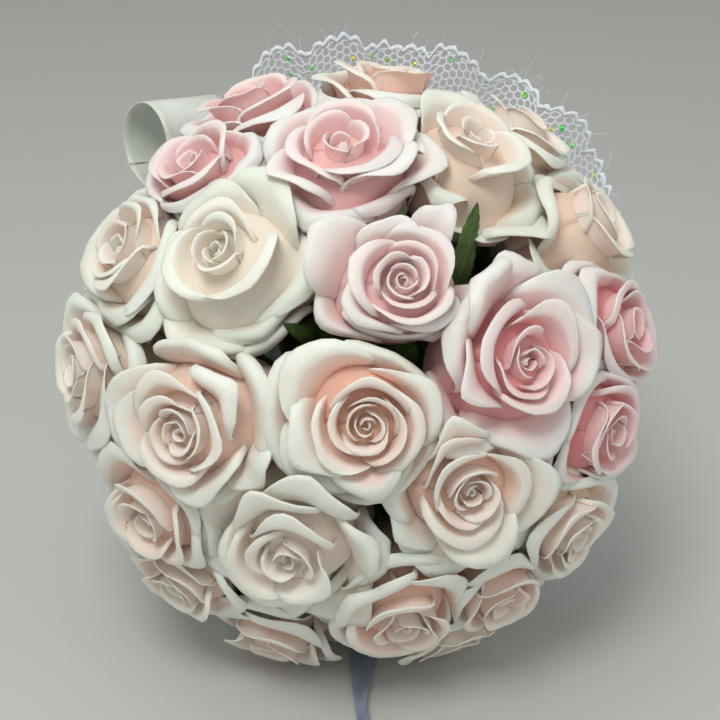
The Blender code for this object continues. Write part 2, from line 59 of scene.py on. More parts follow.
DOME = Matrix.Translation(DOME_CENTRE) @ Matrix((Vector((1, 0, 0)), PHOTO_UP, FACE_ON)).transposed().to_4x4()

# Dome and handle, as in the part's source
BLOOM_BASE = 70 * MM
BLOOM_HEIGHT = 49 * MM
BLOOM_BACK = -9 * MM
STEM_WIDTH = 5 * MM
STEM_PITCH = 5.5 * MM
STEM_END = -196 * MM
BUNCH_TOP = -60 * MM
SOFT_DEPTH = 9 * MM
SUNK = 4.7 * MM
REST_CLEAR = 0.55 * MM
TAIL_X = 2.5 * MM
TAIL_CLEAR = 6.2 * MM

# Name: angle from the dome's axis, angle round it, width across the outer petals, how open it is
ROSES = {
    "rose_01": (10, -81, 66, 1.00),
    "rose_02": (16, 61, 58, 0.86),
    "rose_03": (42, 94, 66, 0.98),
    "rose_04": (32, 141, 66, 0.80),
    "rose_05": (34, -159, 66, 0.95),
    "rose_06": (30, 1, 66, 0.95),
    "rose_07": (30, -48, 62, 0.88),
    "rose_08": (38, -110, 68, 0.92),
    "rose_09": (52, 62, 62, 0.72),
    "rose_10": (55, 154, 60, 0.92),
    "rose_11": (62, -179, 56, 0.90),
    "rose_12": (54, -143, 56, 0.95),
    "rose_13": (54, 129, 54, 0.90),
    "rose_14": (68, 112, 60, 0.85),
    "rose_15": (67, 31, 58, 0.95),
    "rose_16": (61, 8, 56, 0.88),
    "rose_17": (55, -15, 58, 1.00),
    "rose_18": (61, -38, 62, 0.85),
    "rose_19": (56, -80, 62, 0.92),
    "rose_20": (73, -107, 62, 0.90),
    "rose_21": (66, -129, 56, 0.88),
    "rose_22": (74, 84, 64, 0.80),
    "rose_23": (75, 54, 60, 0.88),
    "rose_24": (76, -72, 58, 0.85),
    "rose_25": (61, -58, 56, 0.90),
}
# Where one bloom presses into another: how far (mm) the first one's side of their border moves out
PRESSES = {
    ("rose_01", "rose_02"): 3.5,
    ("rose_05", "rose_01"): 1.5,
    ("rose_08", "rose_01"): 2.0,
    ("rose_06", "rose_01"): 2.5,
    ("rose_02", "rose_03"): 2.0,
    ("rose_04", "rose_02"): 2.5,
    ("rose_03", "rose_09"): 3.5,
    ("rose_06", "rose_07"): 3.5,
    ("rose_06", "rose_17"): 2.5,
    ("rose_07", "rose_18"): 2.0,
    ("rose_08", "rose_07"): 2.0,
    ("rose_08", "rose_12"): 3.0,
    ("rose_08", "rose_05"): 1.5,
    ("rose_04", "rose_05"): 1.5,
    ("rose_04", "rose_13"): 2.5,
}
SIZE_SHARE = 0.2  # of the difference in width, by which the larger of two blooms gets more room
NEAR_BLOOM = 50  # degrees between the axes of blooms that can touch
NEAR_LEAF = 40  # degrees between the axes of a bloom and of a leaf that can touch it
PETAL_REACH = 34 * MM  # that a petal gets to where nothing stops it
LEAST_ROOM = 3 * MM
PINK = ("rose_02", "rose_03", "rose_06", "rose_13", "rose_14", "rose_16", "rose_17")
CREAM = ("rose_04", "rose_09", "rose_10", "rose_11", "rose_15", "rose_18", "rose_21", "rose_23", "rose_24")
# Direction as above, clear radius, which way it leans, lean, half width
LEAVES = {
    "leaf_01": (35, 47, 9.5, 100, 12, 6.5),
    "leaf_02": (31, 74, 5.5, 60, 6, 3.6),
    "leaf_03": (14, 150, 5.0, 150, 5, 3.2),
}
CLEFTS = ((9.4, 15, 5.5), (30.2, -77.4, 3.0))  # dark gaps between blooms, placed as the leaves are

# Petals of an open rose, from the heart out. Number, radius of the lip (mm), its height (share of the
# bloom's), half of the angle it takes, lean of the lip (90 is upright, more leans in over the heart), how
# far the rim folds back (degrees), length of what folds (mm), how far the tip stands out (share), overlap
# (mm), how much lower the sides are (mm)
GROWTH = (
    (0, 1.4, 0.895, 115, 104, 10, 0.6, 0.00, 0.3, 0.8),
    (3, 3.4, 0.920, 100, 98, 45, 1.2, 0.00, 0.6, 3.0),
    (8, 7.4, 0.950, 86, 90, 70, 2.0, 0.03, 0.8, 5.0),
    (13, 11.4, 0.955, 78, 82, 80, 2.7, 0.06, 0.9, 7.0),
    (14, 13.4, 0.945, 78, 79, 84, 3.0, 0.08, 1.1, 8.0),
    (16, 15.4, 0.920, 76, 73, 92, 3.6, 0.09, 1.2, 9.0),
    (17, 19.0, 0.850, 70, 62, 108, 4.8, 0.07, 1.6, 11.0),
    (20, 20.6, 0.810, 68, 57, 120, 5.2, 0.08, 1.6, 12.0),
    (21, 23.8, 0.735, 66, 52, 134, 5.8, 0.08, 1.6, 13.0),
    (24, 24.8, 0.690, 64, 48, 132, 6.2, 0.08, 1.6, 14.0),
)
FULL_HEART = 9  # petals in the heart of a bloom that has no other count here
HEART_PETALS = {
    "rose_03": 5, "rose_04": 7, "rose_06": 7, "rose_07": 8, "rose_08": 6, "rose_09": 5, "rose_10": 7,
    "rose_12": 6, "rose_13": 6, "rose_14": 6, "rose_15": 5, "rose_16": 7, "rose_17": 7, "rose_19": 7,
    "rose_20": 6, "rose_22": 6, "rose_23": 6, "rose_25": 7,
}
FOLD_DEPTH = (4.0, 0.28)  # depth of the folds between the petals: at the heart (mm), and more per mm out
RINGS = ((14, 3, 0.65), (17, 4, 0.82), (21, 4, 1.0))  # first petal, count, place between heart and guard
GOLDEN = 137.5
# Large petals that the photo shows, which take the places of the outer ones: angle seen from outside, half
# of the angle they take, radius of the lip (mm), its height (share), roll (degrees), tip (share)
LARGE_PETALS = {
    "rose_01": [
        (66, 62, 23.6, 0.79, 150, 0.03), (188, 60, 24.6, 0.78, 124, 0.03), (258, 60, 24.6, 0.75, 130, 0.03),
        (322, 58, 23.8, 0.77, 120, 0.03), (140, 62, 20.8, 0.86, 82, 0.04), (30, 60, 20.0, 0.86, 90, 0.04),
        (278, 50, 17.6, 0.89, 120, 0.03), (208, 56, 17.6, 0.89, 60, 0.04), (222, 56, 21.6, 0.82, 100, 0.03),
    ],
    "rose_02": [
        (148, 38, 24.0, 0.85, 45, 0.02), (58, 24, 21.0, 0.86, 45, 0.02), (265, 78, 21.5, 0.70, 165, 0.02),
        (330, 45, 24.0, 0.66, 150, 0.05), (205, 50, 24.5, 0.66, 155, 0.04), (300, 56, 17.0, 0.85, 90, 0.05),
        (222, 52, 17.0, 0.85, 100, 0.04), (90, 52, 16.4, 0.88, 55, 0.06),
    ],
    "rose_03": [
        (355, 50, 25.5, 0.76, 105, 0.10), (185, 40, 24.5, 0.76, 80, 0.20), (248, 56, 23.0, 0.72, 130, 0.08),
        (300, 55, 24.0, 0.70, 140, 0.04), (90, 60, 24.0, 0.78, 110, 0.05), (140, 50, 20.6, 0.85, 90, 0.06),
        (40, 50, 20.4, 0.86, 75, 0.05), (212, 54, 18.6, 0.86, 66, 0.17), (322, 54, 18.6, 0.88, 58, 0.05),
    ],
    "rose_04": [
        (62, 44, 24.0, 0.79, 70, 0.03), (345, 60, 22.0, 0.64, 125, 0.08), (300, 62, 22.5, 0.60, 135, 0.10),
        (292, 50, 26.0, 0.50, 168, 0.02), (182, 50, 22.5, 0.80, 110, 0.06), (112, 50, 22.5, 0.80, 75, 0.05),
        (235, 50, 24.5, 0.66, 135, 0.10),
    ],
    "rose_05": [
        (84, 44, 24.5, 0.76, 152, 0.04), (6, 50, 26.0, 0.78, 152, 0.02), (325, 34, 23.5, 0.76, 55, 0.10),
        (270, 50, 22.5, 0.74, 118, 0.05), (218, 50, 22.5, 0.75, 95, 0.04), (165, 50, 22.5, 0.78, 55, 0.05),
        (34, 50, 18.0, 0.88, 130, 0.12), (170, 60, 17.4, 0.89, 60, 0.05), (282, 60, 18.4, 0.86, 78, 0.05),
    ],
    "rose_06": [
        (128, 32, 26.0, 0.97, 152, 0.06), (162, 46, 23.5, 0.84, 100, 0.03), (228, 40, 27.0, 0.72, 55, 0.18),
        (290, 64, 23.0, 0.80, 66, 0.04), (36, 68, 22.5, 0.84, 92, 0.04), (96, 40, 23.0, 0.76, 80, 0.05),
        (202, 52, 18.2, 0.88, 38, 0.08), (18, 60, 18.0, 0.89, 60, 0.05), (342, 50, 25.0, 0.66, 130, 0.05),
    ],
    "rose_07": [
        (2, 62, 22.0, 0.84, 60, 0.04), (185, 46, 23.5, 0.78, 120, 0.05), (265, 50, 26.0, 0.68, 42, 0.03),
        (33, 40, 24.0, 0.72, 50, 0.04), (112, 50, 21.0, 0.86, 40, 0.15), (315, 42, 24.5, 0.70, 60, 0.06),
        (150, 50, 24.0, 0.72, 80, 0.05), (225, 45, 25.0, 0.70, 60, 0.04), (130, 56, 17.4, 0.90, 30, 0.07),
        (300, 60, 17.8, 0.88, 40, 0.04),
    ],
    "rose_08": [
        (298, 48, 27.0, 0.69, 38, 0.24), (5, 36, 23.5, 0.84, 152, 0.02), (68, 46, 23.0, 0.84, 55, 0.06),
        (150, 44, 26.0, 0.72, 142, 0.04), (192, 42, 25.5, 0.70, 55, 0.06), (340, 42, 26.0, 0.70, 120, 0.04),
        (222, 68, 18.4, 0.86, 100, 0.03), (100, 52, 18.4, 0.90, 50, 0.09), (250, 46, 25.0, 0.68, 50, 0.05),
    ],
    "rose_09": [
        (222, 36, 20.5, 0.64, 115, 0.04), (324, 38, 22.5, 0.68, 135, 0.10), (304, 36, 25.0, 0.56, 55, 0.14),
        (90, 62, 20.5, 0.82, 55, 0.05), (12, 46, 22.5, 0.76, 110, 0.05), (168, 46, 21.5, 0.76, 110, 0.05),
        (270, 62, 22.5, 0.42, 55, 0.05),
    ],
    "rose_15": [
        (232, 44, 26.0, 0.52, 158, 0.04), (150, 46, 22.0, 0.78, 100, 0.08), (60, 56, 22.0, 0.80, 90, 0.06),
        (330, 56, 22.5, 0.76, 110, 0.06), (275, 50, 20.0, 0.74, 90, 0.08), (100, 50, 25.0, 0.68, 120, 0.05),
        (10, 50, 25.0, 0.66, 120, 0.05), (200, 46, 24.0, 0.50, 60, 0.05),
    ],
}
# How much whiter some blooms are
FAIR = {
    "rose_01": 0.15, "rose_02": 0.35, "rose_03": 0.25, "rose_04": 0.50, "rose_05": 0.35, "rose_06": 0.08,
    "rose_07": 0.30, "rose_08": 0.60, "rose_09": 0.22, "rose_10": 0.30, "rose_11": 0.30, "rose_12": 0.35,
    "rose_13": 0.20, "rose_14": 0.15, "rose_15": 0.15, "rose_18": 0.20, "rose_19": 0.30, "rose_20": 0.35,
    "rose_21": 0.25, "rose_22": 0.15, "rose_23": 0.10, "rose_24": 0.25, "rose_25": 0.25,
}
FULL_RADIUS = 28 * MM  # of the bloom that the petals are given for
PETAL_THICK = 0.4 * MM
LEAF_THICK = 0.35 * MM
LEAF_FOOT = 64 * MM
LEAF_TIP = 106 * MM
SEPALS = 5
LEAFLETS = 8


def linear(hexa):
    """sRGB hex to the linear colour that a shader takes."""
    shares = [int(hexa[i : i + 2], 16) / 255 for i in (1, 3, 5)]
    return (*(s / 12.92 if s <= 0.04045 else ((s + 0.055) / 1.055) ** 2.4 for s in shares), 1)


def add(tree, kind, links=None, stops=None, **settings):
    """Adds a node with its settings, its values and links, and a ramp's stops."""
    node = tree.nodes.new(kind)
    for name, value in settings.items():
        setattr(node, name, value)
    for socket, value in (links or {}).items():
        if isinstance(value, bpy.types.NodeSocket):
            tree.links.new(value, node.inputs[socket])
        else:
            node.inputs[socket].default_value = value
    if stops:
        ramp = node.color_ramp
        while len(ramp.elements) < len(stops):
            ramp.elements.new(1)
        for element, (place, colour) in zip(ramp.elements, stops):
            element.position = place
            element.color = linear(colour)
    return node


def new_material(name):
    made = bpy.data.materials.new(name)
    made.use_nodes = True
    return made, made.node_tree, made.node_tree.nodes["Principled BSDF"]


def maths(tree, operation, *values, **settings):
    links = dict(enumerate(values))
    return add(tree, "ShaderNodeMath", links, operation=operation, **settings).outputs[0]


def mottle(tree, where, scale, detail):
    return add(tree, "ShaderNodeTexNoise", {"Vector": where, "Scale": scale, "Detail": detail}).outputs["Fac"]


def remap(tree, value, limits, **settings):
    return add(tree, "ShaderNodeMapRange", {"Value": value, **limits}, **settings).outputs["Result"]


def blend(tree, factor, first, second):
    """Mixes two colours, each a link or a hex colour."""
    links = {"Factor": factor}
    for socket, colour in ((6, first), (7, second)):
        links[socket] = linear(colour) if isinstance(colour, str) else colour
    return add(tree, "ShaderNodeMix", links, data_type="RGBA").outputs[2]


def ramped(tree, factor, stops):
    return add(tree, "ShaderNodeValToRGB", {"Fac": factor}, stops=stops).outputs["Color"]


def finish_material(tree, shader, colour, height, strength, distance, inputs, under=None, **settings):
    """Links the colour and the bump (over another, if given), and sets the shader's other inputs."""
    tree.links.new(colour, shader.inputs["Base Color"])
    links = {"Height": height, "Strength": strength, "Distance": distance}
    if under:
        links["Normal"] = under
    bump = add(tree, "ShaderNodeBump", links, **settings)
    tree.links.new(bump.outputs["Normal"], shader.inputs["Normal"])
    for socket, value in inputs.items():
        shader.inputs[socket].default_value = value


def smooth(share):
    share = min(max(share, 0), 1)
    return share * share * (3 - 2 * share)


def direction(polar, round_axis):
    polar = math.radians(polar)
    round_axis = math.radians(round_axis)
    flat = math.sin(polar)
    return Vector((flat * math.cos(round_axis), flat * math.sin(round_axis), math.cos(polar)))


def side_axes(axis):
    right = Vector((0, 1, 0)).cross(axis).normalized()
    return right, axis.cross(right)


def turned(axis, angle):
    right, up = side_axes(axis)
    return right * math.cos(angle) + up * math.sin(angle)


def settle(point):
    """Lets a soft petal give way where it would reach below the surface."""
    if point.z < SOFT_DEPTH:
        share = max(point.z + SUNK, 0) / (SOFT_DEPTH + SUNK)
        point.z = SOFT_DEPTH * share ** ((SOFT_DEPTH + SUNK) / SOFT_DEPTH)
    point.z = max(point.z, REST_CLEAR)
    return point


def new_shell(uv_name):
    shell = bmesh.new()
    shell.loops.layers.uv.new(uv_name)
    return shell


def grid(shell, columns, rows, uvs=True):
    """The corners of a flat grid, with x and y from -1 to 1."""
    made = bmesh.ops.create_grid(shell, x_segments=columns, y_segments=rows, size=1, calc_uvs=uvs)
    return made["verts"]


def faces_of(verts):
    return list({face for vert in verts for face in vert.link_faces})


def toothed(u, t, teeth):
    """Share of a leaf's width that its saw teeth leave."""
    return 1 - 0.16 * (1 - (t * teeth) % 1) * smooth(abs(u) * 2.5 - 1.4)


def finish_piece(name, shell, body_materials, nodes, thick=None, two_sides=False):
    """Makes an object of the mesh, rides it on the bouquet and lets it stand for its CAD nodes."""
    mesh = bpy.data.meshes.new(name)
    shell.to_mesh(mesh)
    shell.free()
    mesh.shade_smooth()
    for made in body_materials:
        mesh.materials.append(made)
    piece = bpy.data.objects.new(name, mesh)
    bpy.context.scene.collection.objects.link(piece)
    if thick:
        wall = piece.modifiers.new("thickness", "SOLIDIFY")
        wall.thickness = thick
        wall.offset = -1
        if two_sides:
            wall.material_offset = 1
            wall.material_offset_rim = 1
    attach(piece, "root")
    if nodes:
        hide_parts(*nodes)
    return piece


def room_planes(name):
    """The planes between a bloom and its neighbours, as outward normals and distances."""
    polar, round_axis, width, _ = ROSES[name]
    axis = direction(polar, round_axis)
    planes = [(Vector((0, 0, -1)), -BLOOM_BACK)]
    for other, (other_polar, other_round, other_width, _) in ROSES.items():
        away = direction(other_polar, other_round)
        if other == name or axis.angle(away) > math.radians(NEAR_BLOOM):
            continue
        pressed = PRESSES.get((name, other), 0) - PRESSES.get((other, name), 0)
        shift = ((width - other_width) * SIZE_SHARE + pressed) * MM
        planes.append(((away - axis).normalized(), shift))
    for gap_polar, gap_round, clear, *_ in [*LEAVES.values(), *CLEFTS]:
        gap_axis = direction(gap_polar, gap_round)
        if axis.angle(gap_axis) > math.radians(NEAR_LEAF):
            continue
        towards = -(axis - gap_axis * axis.dot(gap_axis)).normalized()
        planes.append((towards, -clear * MM))
    if name == "rose_20":
        planes.append((Vector((1, 0, 0)), TAIL_X - TAIL_CLEAR))
    if name == "rose_24":
        planes.append((Vector((-1, 0, 0)), -TAIL_X - TAIL_CLEAR))
    return planes


def room(planes, foot, way):
    """How far a petal gets along way before its neighbours stop it. Corners are rounded off."""
    total = (1 / PETAL_REACH) ** 6
    for normal, distance in planes:
        slope = normal.dot(way)
        if slope > 0.02:
            total += (1 / max((distance - normal.dot(foot)) / slope, LEAST_ROOM)) ** 6
    return total ** (-1 / 6)


def bezier(p0, p1, p2, p3, t):
    return p0 * (1 - t) ** 3 + p1 * 3 * t * (1 - t) ** 2 + p2 * 3 * t * t * (1 - t) + p3 * t**3


def grown(number):
    """The sizes of a petal by its number from the heart out."""
    after = next(i for i, row in enumerate(GROWTH) if row[0] >= number)
    low, high = GROWTH[max(after - 1, 0)], GROWTH[after]
    share = (number - low[0]) / max(high[0] - low[0], 1)
    return [a + (b - a) * share for a, b in zip(low[1:], high[1:])]


def folded_back(lean, turn, share):
    """Where a petal's rim gets to as it folds back: sharply at first, then it runs out nearly flat."""
    point = Vector((0, 0))
    for i in range(8):
        way = lean - turn * (1 - (1 - share * (i + 0.5) / 8) ** 1.9)
        point += Vector((math.cos(way), math.sin(way))) * share / 8
    return point


def petal(shell, marks, place, angle, sizes, hand, ring, chance):
    """One petal: a grid that rises from the cup to its lip and folds back there."""
    lip, height, half, lean, curl, flap, tip, lap, fall = sizes
    lip *= chance.uniform(0.97, 1.03) * MM
    height = height * BLOOM_HEIGHT + chance.uniform(-0.9, 0.9) * MM * min(lip / (8 * MM), 1)
    lean = math.radians(lean + chance.uniform(-4, 4))
    curl = math.radians(curl * chance.uniform(0.85, 1.15))
    half = math.radians(half * chance.uniform(0.94, 1.06))
    fall *= chance.uniform(0.8, 1.2)
    seed = Vector((chance.uniform(-50, 50), chance.uniform(-50, 50), chance.uniform(-50, 50)))
    flap *= chance.uniform(0.85, 1.2) * MM
    ruffle = (0.2 + 0.8 * ring) * MM
    shade = chance.uniform(0, 1)
    outer = smooth((ring - 0.5) / 0.3)
    belly = 0.60 + 0.15 * outer
    columns = 2 * round(4 + 4 * smooth(ring / 0.8))
    rows = round(7 + 10 * smooth(ring / 0.8))
    turn_at = 1 - 0.5 * min(curl / 1.9, 1)  # share of the rows below the fold
    for vert in grid(shell, columns, rows):
        u, t = vert.co.x, (vert.co.y + 1) / 2
        side = u * hand
        edge = 1 - math.sqrt(max(1 - abs(u) ** 3.2, 0))  # the margin rounds off to both sides
        point_out = math.exp(-((abs(u) / 0.30) ** 1.6)) * outer
        covered = smooth((side + 0.95) / 0.8)  # the side under the next petal hardly folds
        uneven = noise.noise(seed + Vector((u * 1.5, 40, 0)))
        top_r = lip * (1 + tip * point_out) + lap * MM * side
        top_r *= 1 - 0.08 * edge * outer * (1 - 0.5 * covered)
        top_z = height - fall * MM * edge
        turn = curl * (0.25 + 0.75 * covered) * (1 - 0.2 * edge) * (1 + 0.25 * uneven)
        long = flap * (1 - 0.8 * edge) * (1 + 0.35 * uneven) * (0.5 + 0.5 * covered) * (1 + 0.2 * point_out)
        lean_here = lean - math.radians(12) * point_out
        base_r = min(3.4 * MM, lip * 0.6)
        if t <= turn_at:
            s = t / turn_at
            start = Vector((base_r, 0.4 * MM))
            end = Vector((top_r, top_z))
            reach = Vector((math.cos(0.25), math.sin(0.25))) * max(top_r, 6 * MM) * belly
            rise = Vector((math.cos(lean_here), math.sin(lean_here))) * top_z * 0.42
            point = bezier(start, start + reach, end - rise, end, s)
            spread = 0.5 + 0.5 * smooth(s * 1.25)
        else:
            s = (t - turn_at) / (1 - turn_at)
            point = Vector((top_r, top_z)) + folded_back(lean_here, turn, s) * long
            point.x += 1.2 * MM * point_out * s * s
            spread = 1 - 0.08 * s * s
        wobble = noise.noise(seed + Vector((u * 1.2, t * 1.0, 0))) * ruffle * t * t * 2.2
        wobble += noise.noise(seed + Vector((u * 3.6, t * 1.6, 9))) * ruffle * 0.5 * t**4
        lift = noise.noise(seed + Vector((u * 1.6, t, 21))) * ruffle * t * t * 1.8
        lift += noise.noise(seed + Vector((u * 5.5, 0, 33))) * ruffle * 0.55 * t**6
        vert.co = place(angle + half * u * spread, point.x + wobble, point.y + lift)
        rim = smooth((t - 0.85) / 0.15)
        rolled = smooth((t - turn_at + 0.06) / 0.26)
        vert[marks["pale"]] = rim * (1 - outer) + rolled * outer
        vert[marks["ring"]] = ring
        vert[marks["tint"]] = shade


def fill_folds(shell, marks, place):
    """The lower parts of the petals are pressed together: one surface that closes the folds between them."""
    made = grid(shell, 30, 11)
    for vert in made:
        radius = 12.5 + 12.5 * vert.co.y
        after = next(i for i, row in enumerate(GROWTH) if row[1] >= min(radius, 24.8))
        low, high = GROWTH[max(after - 1, 0)], GROWTH[after]
        share = (radius - low[1]) / max(high[1] - low[1], 1)
        height = (low[2] + (high[2] - low[2]) * min(share, 1)) * BLOOM_HEIGHT
        depth = FOLD_DEPTH[0] + FOLD_DEPTH[1] * radius + max(radius - 19, 0) * 1.5
        vert[marks["ring"]] = radius / 30
        vert[marks["tint"]] = 0.3
        vert.co = place(math.pi * vert.co.x, radius * MM, height - depth * MM)
    sheet = shell.loops.layers.uv["petal"]
    for face in faces_of(made):
        face.material_index = 1
        for corner in face.loops:
            corner[sheet].uv.y *= 0.55


def bloom(name, materials):
    polar, round_axis, width, openness = ROSES[name]
    axis = direction(polar, round_axis)
    planes = room_planes(name)
    chance = random.Random(name + " petals")
    hand = chance.choice((-1, 1))
    spin = chance.uniform(0, 360)
    right, up = side_axes(axis)

    def place(angle, reach, rise):
        reach = max(reach, 0)
        way = right * math.cos(angle) + up * math.sin(angle)
        foot = axis * (BLOOM_BASE + rise)
        limit = room(planes, foot, way) + LEAST_ROOM
        near = min(reach / FULL_RADIUS, 1)
        reach *= 1 + (limit / FULL_RADIUS - 1) * smooth(near**1.6)
        return settle(DOME @ (foot + way * reach))

    shell = new_shell("petal")
    marks = {kind: shell.verts.layers.float.new(kind) for kind in ("pale", "ring", "tint", "fair")}
    fill_folds(shell, marks, place)
    opened = (openness - 0.93) * 0.9
    count = HEART_PETALS.get(name, FULL_HEART)
    for i in range(count):
        number = RINGS[0][0] * i / count
        ring = 0.55 * i / count
        sizes = grown(number)
        sizes[0] *= 1 + opened * math.sin(math.pi * min(ring * 1.5, 1))
        angle = math.radians(spin + GOLDEN * i + chance.uniform(-12, 12))
        petal(shell, marks, place, angle, sizes, hand, ring, chance)
    chosen = LARGE_PETALS.get(name, ())
    for first, count, ring in RINGS:
        spin += GOLDEN
        if ring > 0.7 and chosen:
            continue
        for i in range(count):
            angle = math.radians(spin + 360 * i / count + chance.uniform(-11, 11))
            petal(shell, marks, place, angle, grown(first + i), hand, ring, chance)
    for petal_angle, half, lip, height, curl, tip in chosen:
        ring = 0.82 + 0.18 * smooth((lip - 18) / 6)
        sizes = grown(17 + 7 * smooth((lip - 18) / 6))
        sizes[:3] = [lip, height, half]
        sizes[4] = curl
        sizes[6] = tip
        petal(shell, marks, place, math.radians(petal_angle), sizes, hand, ring, chance)
    for vert in shell.verts:
        vert[marks["fair"]] = FAIR.get(name, 0)
    slot = "petal_pink" if name in PINK else "petal_cream" if name in CREAM else "petal_blush"
    finish_piece(f"petals_{name[-2:]}", shell, materials[slot], [name], PETAL_THICK, True)


# Rose petals: living tissue, soft and slightly velvety, with fine lengthwise veins. They let light in,
# so deep folds glow, and they pale to cream where the rim rolls. The outermost are greener.
def petal_material(name, heart, throat, face, margin, guard):
    made, tree, shader = new_material(name)
    marks = add(tree, "ShaderNodeUVMap", uv_map="petal").outputs["UV"]
    ring, tint, pale, fair = (
        add(tree, "ShaderNodeAttribute", attribute_name=kind).outputs["Fac"]
        for kind in ("ring", "tint", "pale", "fair")
    )
    where = add(tree, "ShaderNodeTexCoord").outputs["Object"]
    along = add(tree, "ShaderNodeSeparateXYZ", {"Vector": marks}).outputs["Y"]
    # Veins about 0.8 mm apart across a petal of 30 mm
    stretched = add(tree, "ShaderNodeMapping", {"Vector": marks, "Scale": (38, 2.4, 1)}).outputs["Vector"]
    veins = mottle(tree, stretched, 1.0, 3.0)
    patches = mottle(tree, where, 70.0, 2.0)
    drift = maths(tree, "MULTIPLY_ADD", patches, 0.34, along)
    streaked = maths(tree, "MULTIPLY_ADD", veins, 0.12, drift)
    deep = remap(tree, streaked, {"From Min": 0.50, "From Max": 0.92}, interpolation_type="SMOOTHSTEP")
    inner = remap(tree, ring, {"From Max": 0.3})
    body = blend(tree, deep, blend(tree, inner, heart, throat), face)
    # The pale rim comes and goes by about a quarter along the petal's width
    uneven = remap(tree, patches, {"From Min": 0.3, "From Max": 0.6, "To Min": 0.72})
    edged = blend(tree, maths(tree, "MULTIPLY", pale, uneven), body, margin)
    outermost = remap(tree, ring, {"From Min": 0.84, "From Max": 1.0, "To Max": 0.22})
    greened = blend(tree, outermost, edged, guard)
    whiter = maths(tree, "MULTIPLY_ADD", tint, 0.22, fair, use_clamp=True)
    # Veins stand up under soft waves 5 mm across
    waves = mottle(tree, where, 200.0, 2.0)
    soft = add(tree, "ShaderNodeBump", {"Height": waves, "Strength": 0.25, "Distance": 0.0012}).outputs[0]
    finish_material(tree, shader, blend(tree, whiter, greened, margin), veins, 0.3, 0.0006, {
        "Roughness": 0.5, "Specular IOR Level": 0.35, "Subsurface Weight": 0.5,
        "Subsurface Radius": (1.0, 0.62, 0.5), "Subsurface Scale": 0.0014, "Sheen Weight": 0.15,
        "Sheen Roughness": 0.5,
    }, soft)
    return made


petals = {
    "petal_blush": (
        petal_material("rose petal back, blush", "#F6CDB0", "#F1B5A2", "#F6DAD3", "#F5F4EB", "#ECEFDD"),
        petal_material("rose petal face, blush", "#F9CBA4", "#F2A28B", "#F7D2C7", "#F6F5EC", "#EFF0E0"),
    ),
    "petal_pink": (
        petal_material("rose petal back, pink", "#F5BDB0", "#EEA8A8", "#F4CACD", "#F6EFEA", "#F0EDE0"),
        petal_material("rose petal face, pink", "#F7B6A2", "#EF9496", "#F6C5CA", "#F8F1EE", "#F1EDE4"),
    ),
    "petal_cream": (
        petal_material("rose petal back, cream", "#F8E0B4", "#F3CDBA", "#F6E2DD", "#F4F6EA", "#E6EDCA"),
        petal_material("rose petal face, cream", "#FBDFAE", "#F3C1AA", "#F7DFD8", "#F5F6EB", "#E9EFD0"),
    ),
}
for name in ROSES:
    bloom(name, petals)


def tube(shell, sides, steps, place):
    """A closed round piece: a cylinder cut into steps, each point moved to place(angle, share)."""
    layers = shell.verts.layers.int
    placed = layers.get("placed") or layers.new("placed")
    for vert in shell.verts:
        vert[placed] = 1
    bmesh.ops.create_cone(shell, cap_ends=True, segments=sides, radius1=1, radius2=1, depth=1)
    uprights = [
        edge for edge in shell.edges
        if not edge.verts[0][placed] and abs(edge.verts[0].co.z - edge.verts[1].co.z) > 0.5
    ]
    bmesh.ops.subdivide_edges(shell, edges=uprights, cuts=steps - 1)
    for vert in shell.verts:
        if not vert[placed]:
            vert.co = place(math.atan2(vert.co.y, vert.co.x), vert.co.z + 0.5)


def along_path(points, share):
    """A point on the smooth curve through the points."""
    span = share * (len(points) - 1)
    i = min(int(span), len(points) - 2)
    t = span - i
    p0, p1, p2, p3 = (points[min(max(k, 0), len(points) - 1)] for k in (i - 1, i, i + 1, i + 2))
    return 0.5 * (
        2 * p1 + (p2 - p0) * t + (2 * p0 - 5 * p1 + 4 * p2 - p3) * t * t
        + (3 * p1 - p0 - 3 * p2 + p3) * t**3
    )


def way_at(points, share):
    ahead = along_path(points, min(share + 0.004, 1))
    return (ahead - along_path(points, max(share - 0.004, 0))).normalized()


# Stems, cups, sepals and leaves
def stem_slots():
    places = []
    for row in range(-4, 5):
        for column in range(-4, 5):
            places.append(((column + row / 2) * STEM_PITCH, row * STEM_PITCH * math.sqrt(3) / 2))
    places.sort(key=lambda place: (round(math.hypot(*place) / MM, 3), math.atan2(place[1], place[0])))
    return places


def stem_places():
    """Gives each stem the place in the bunch that it has in the part's source."""
    spots = {name: direction(*row[:2]) for name, row in {**ROSES, **LEAVES}.items()}
    names = list(spots)
    slots = stem_slots()[: len(names)]
    reach = max(math.hypot(*slot) for slot in slots)
    wanted = [(spots[name].x * reach, spots[name].y * reach) for name in names]

    def cost(i, slot):
        return (wanted[i][0] - slot[0]) ** 2 + (wanted[i][1] - slot[1]) ** 2

    better = True
    while better:
        better = False
        for i in range(len(names)):
            for j in range(i):
                if cost(i, slots[j]) + cost(j, slots[i]) < cost(i, slots[i]) + cost(j, slots[j]) - 1e-12:
                    slots[i], slots[j] = slots[j], slots[i]
                    better = True
    return {name: Vector((slot[0], slot[1], 0)) for name, slot in zip(names, slots)}


def stem_route(axis, top, slot):
    start = slot + Vector((0, 0, BUNCH_TOP))
    end = axis * top
    near = start + Vector((0, 0, 34 * MM))
    far = end - axis * 20 * MM
    low = slot + Vector((0, 0, STEM_END))
    points = [low + (start - low) * i / 5 for i in range(5)]
    return points + [bezier(start, near, far, end, i / 10) for i in range(11)]


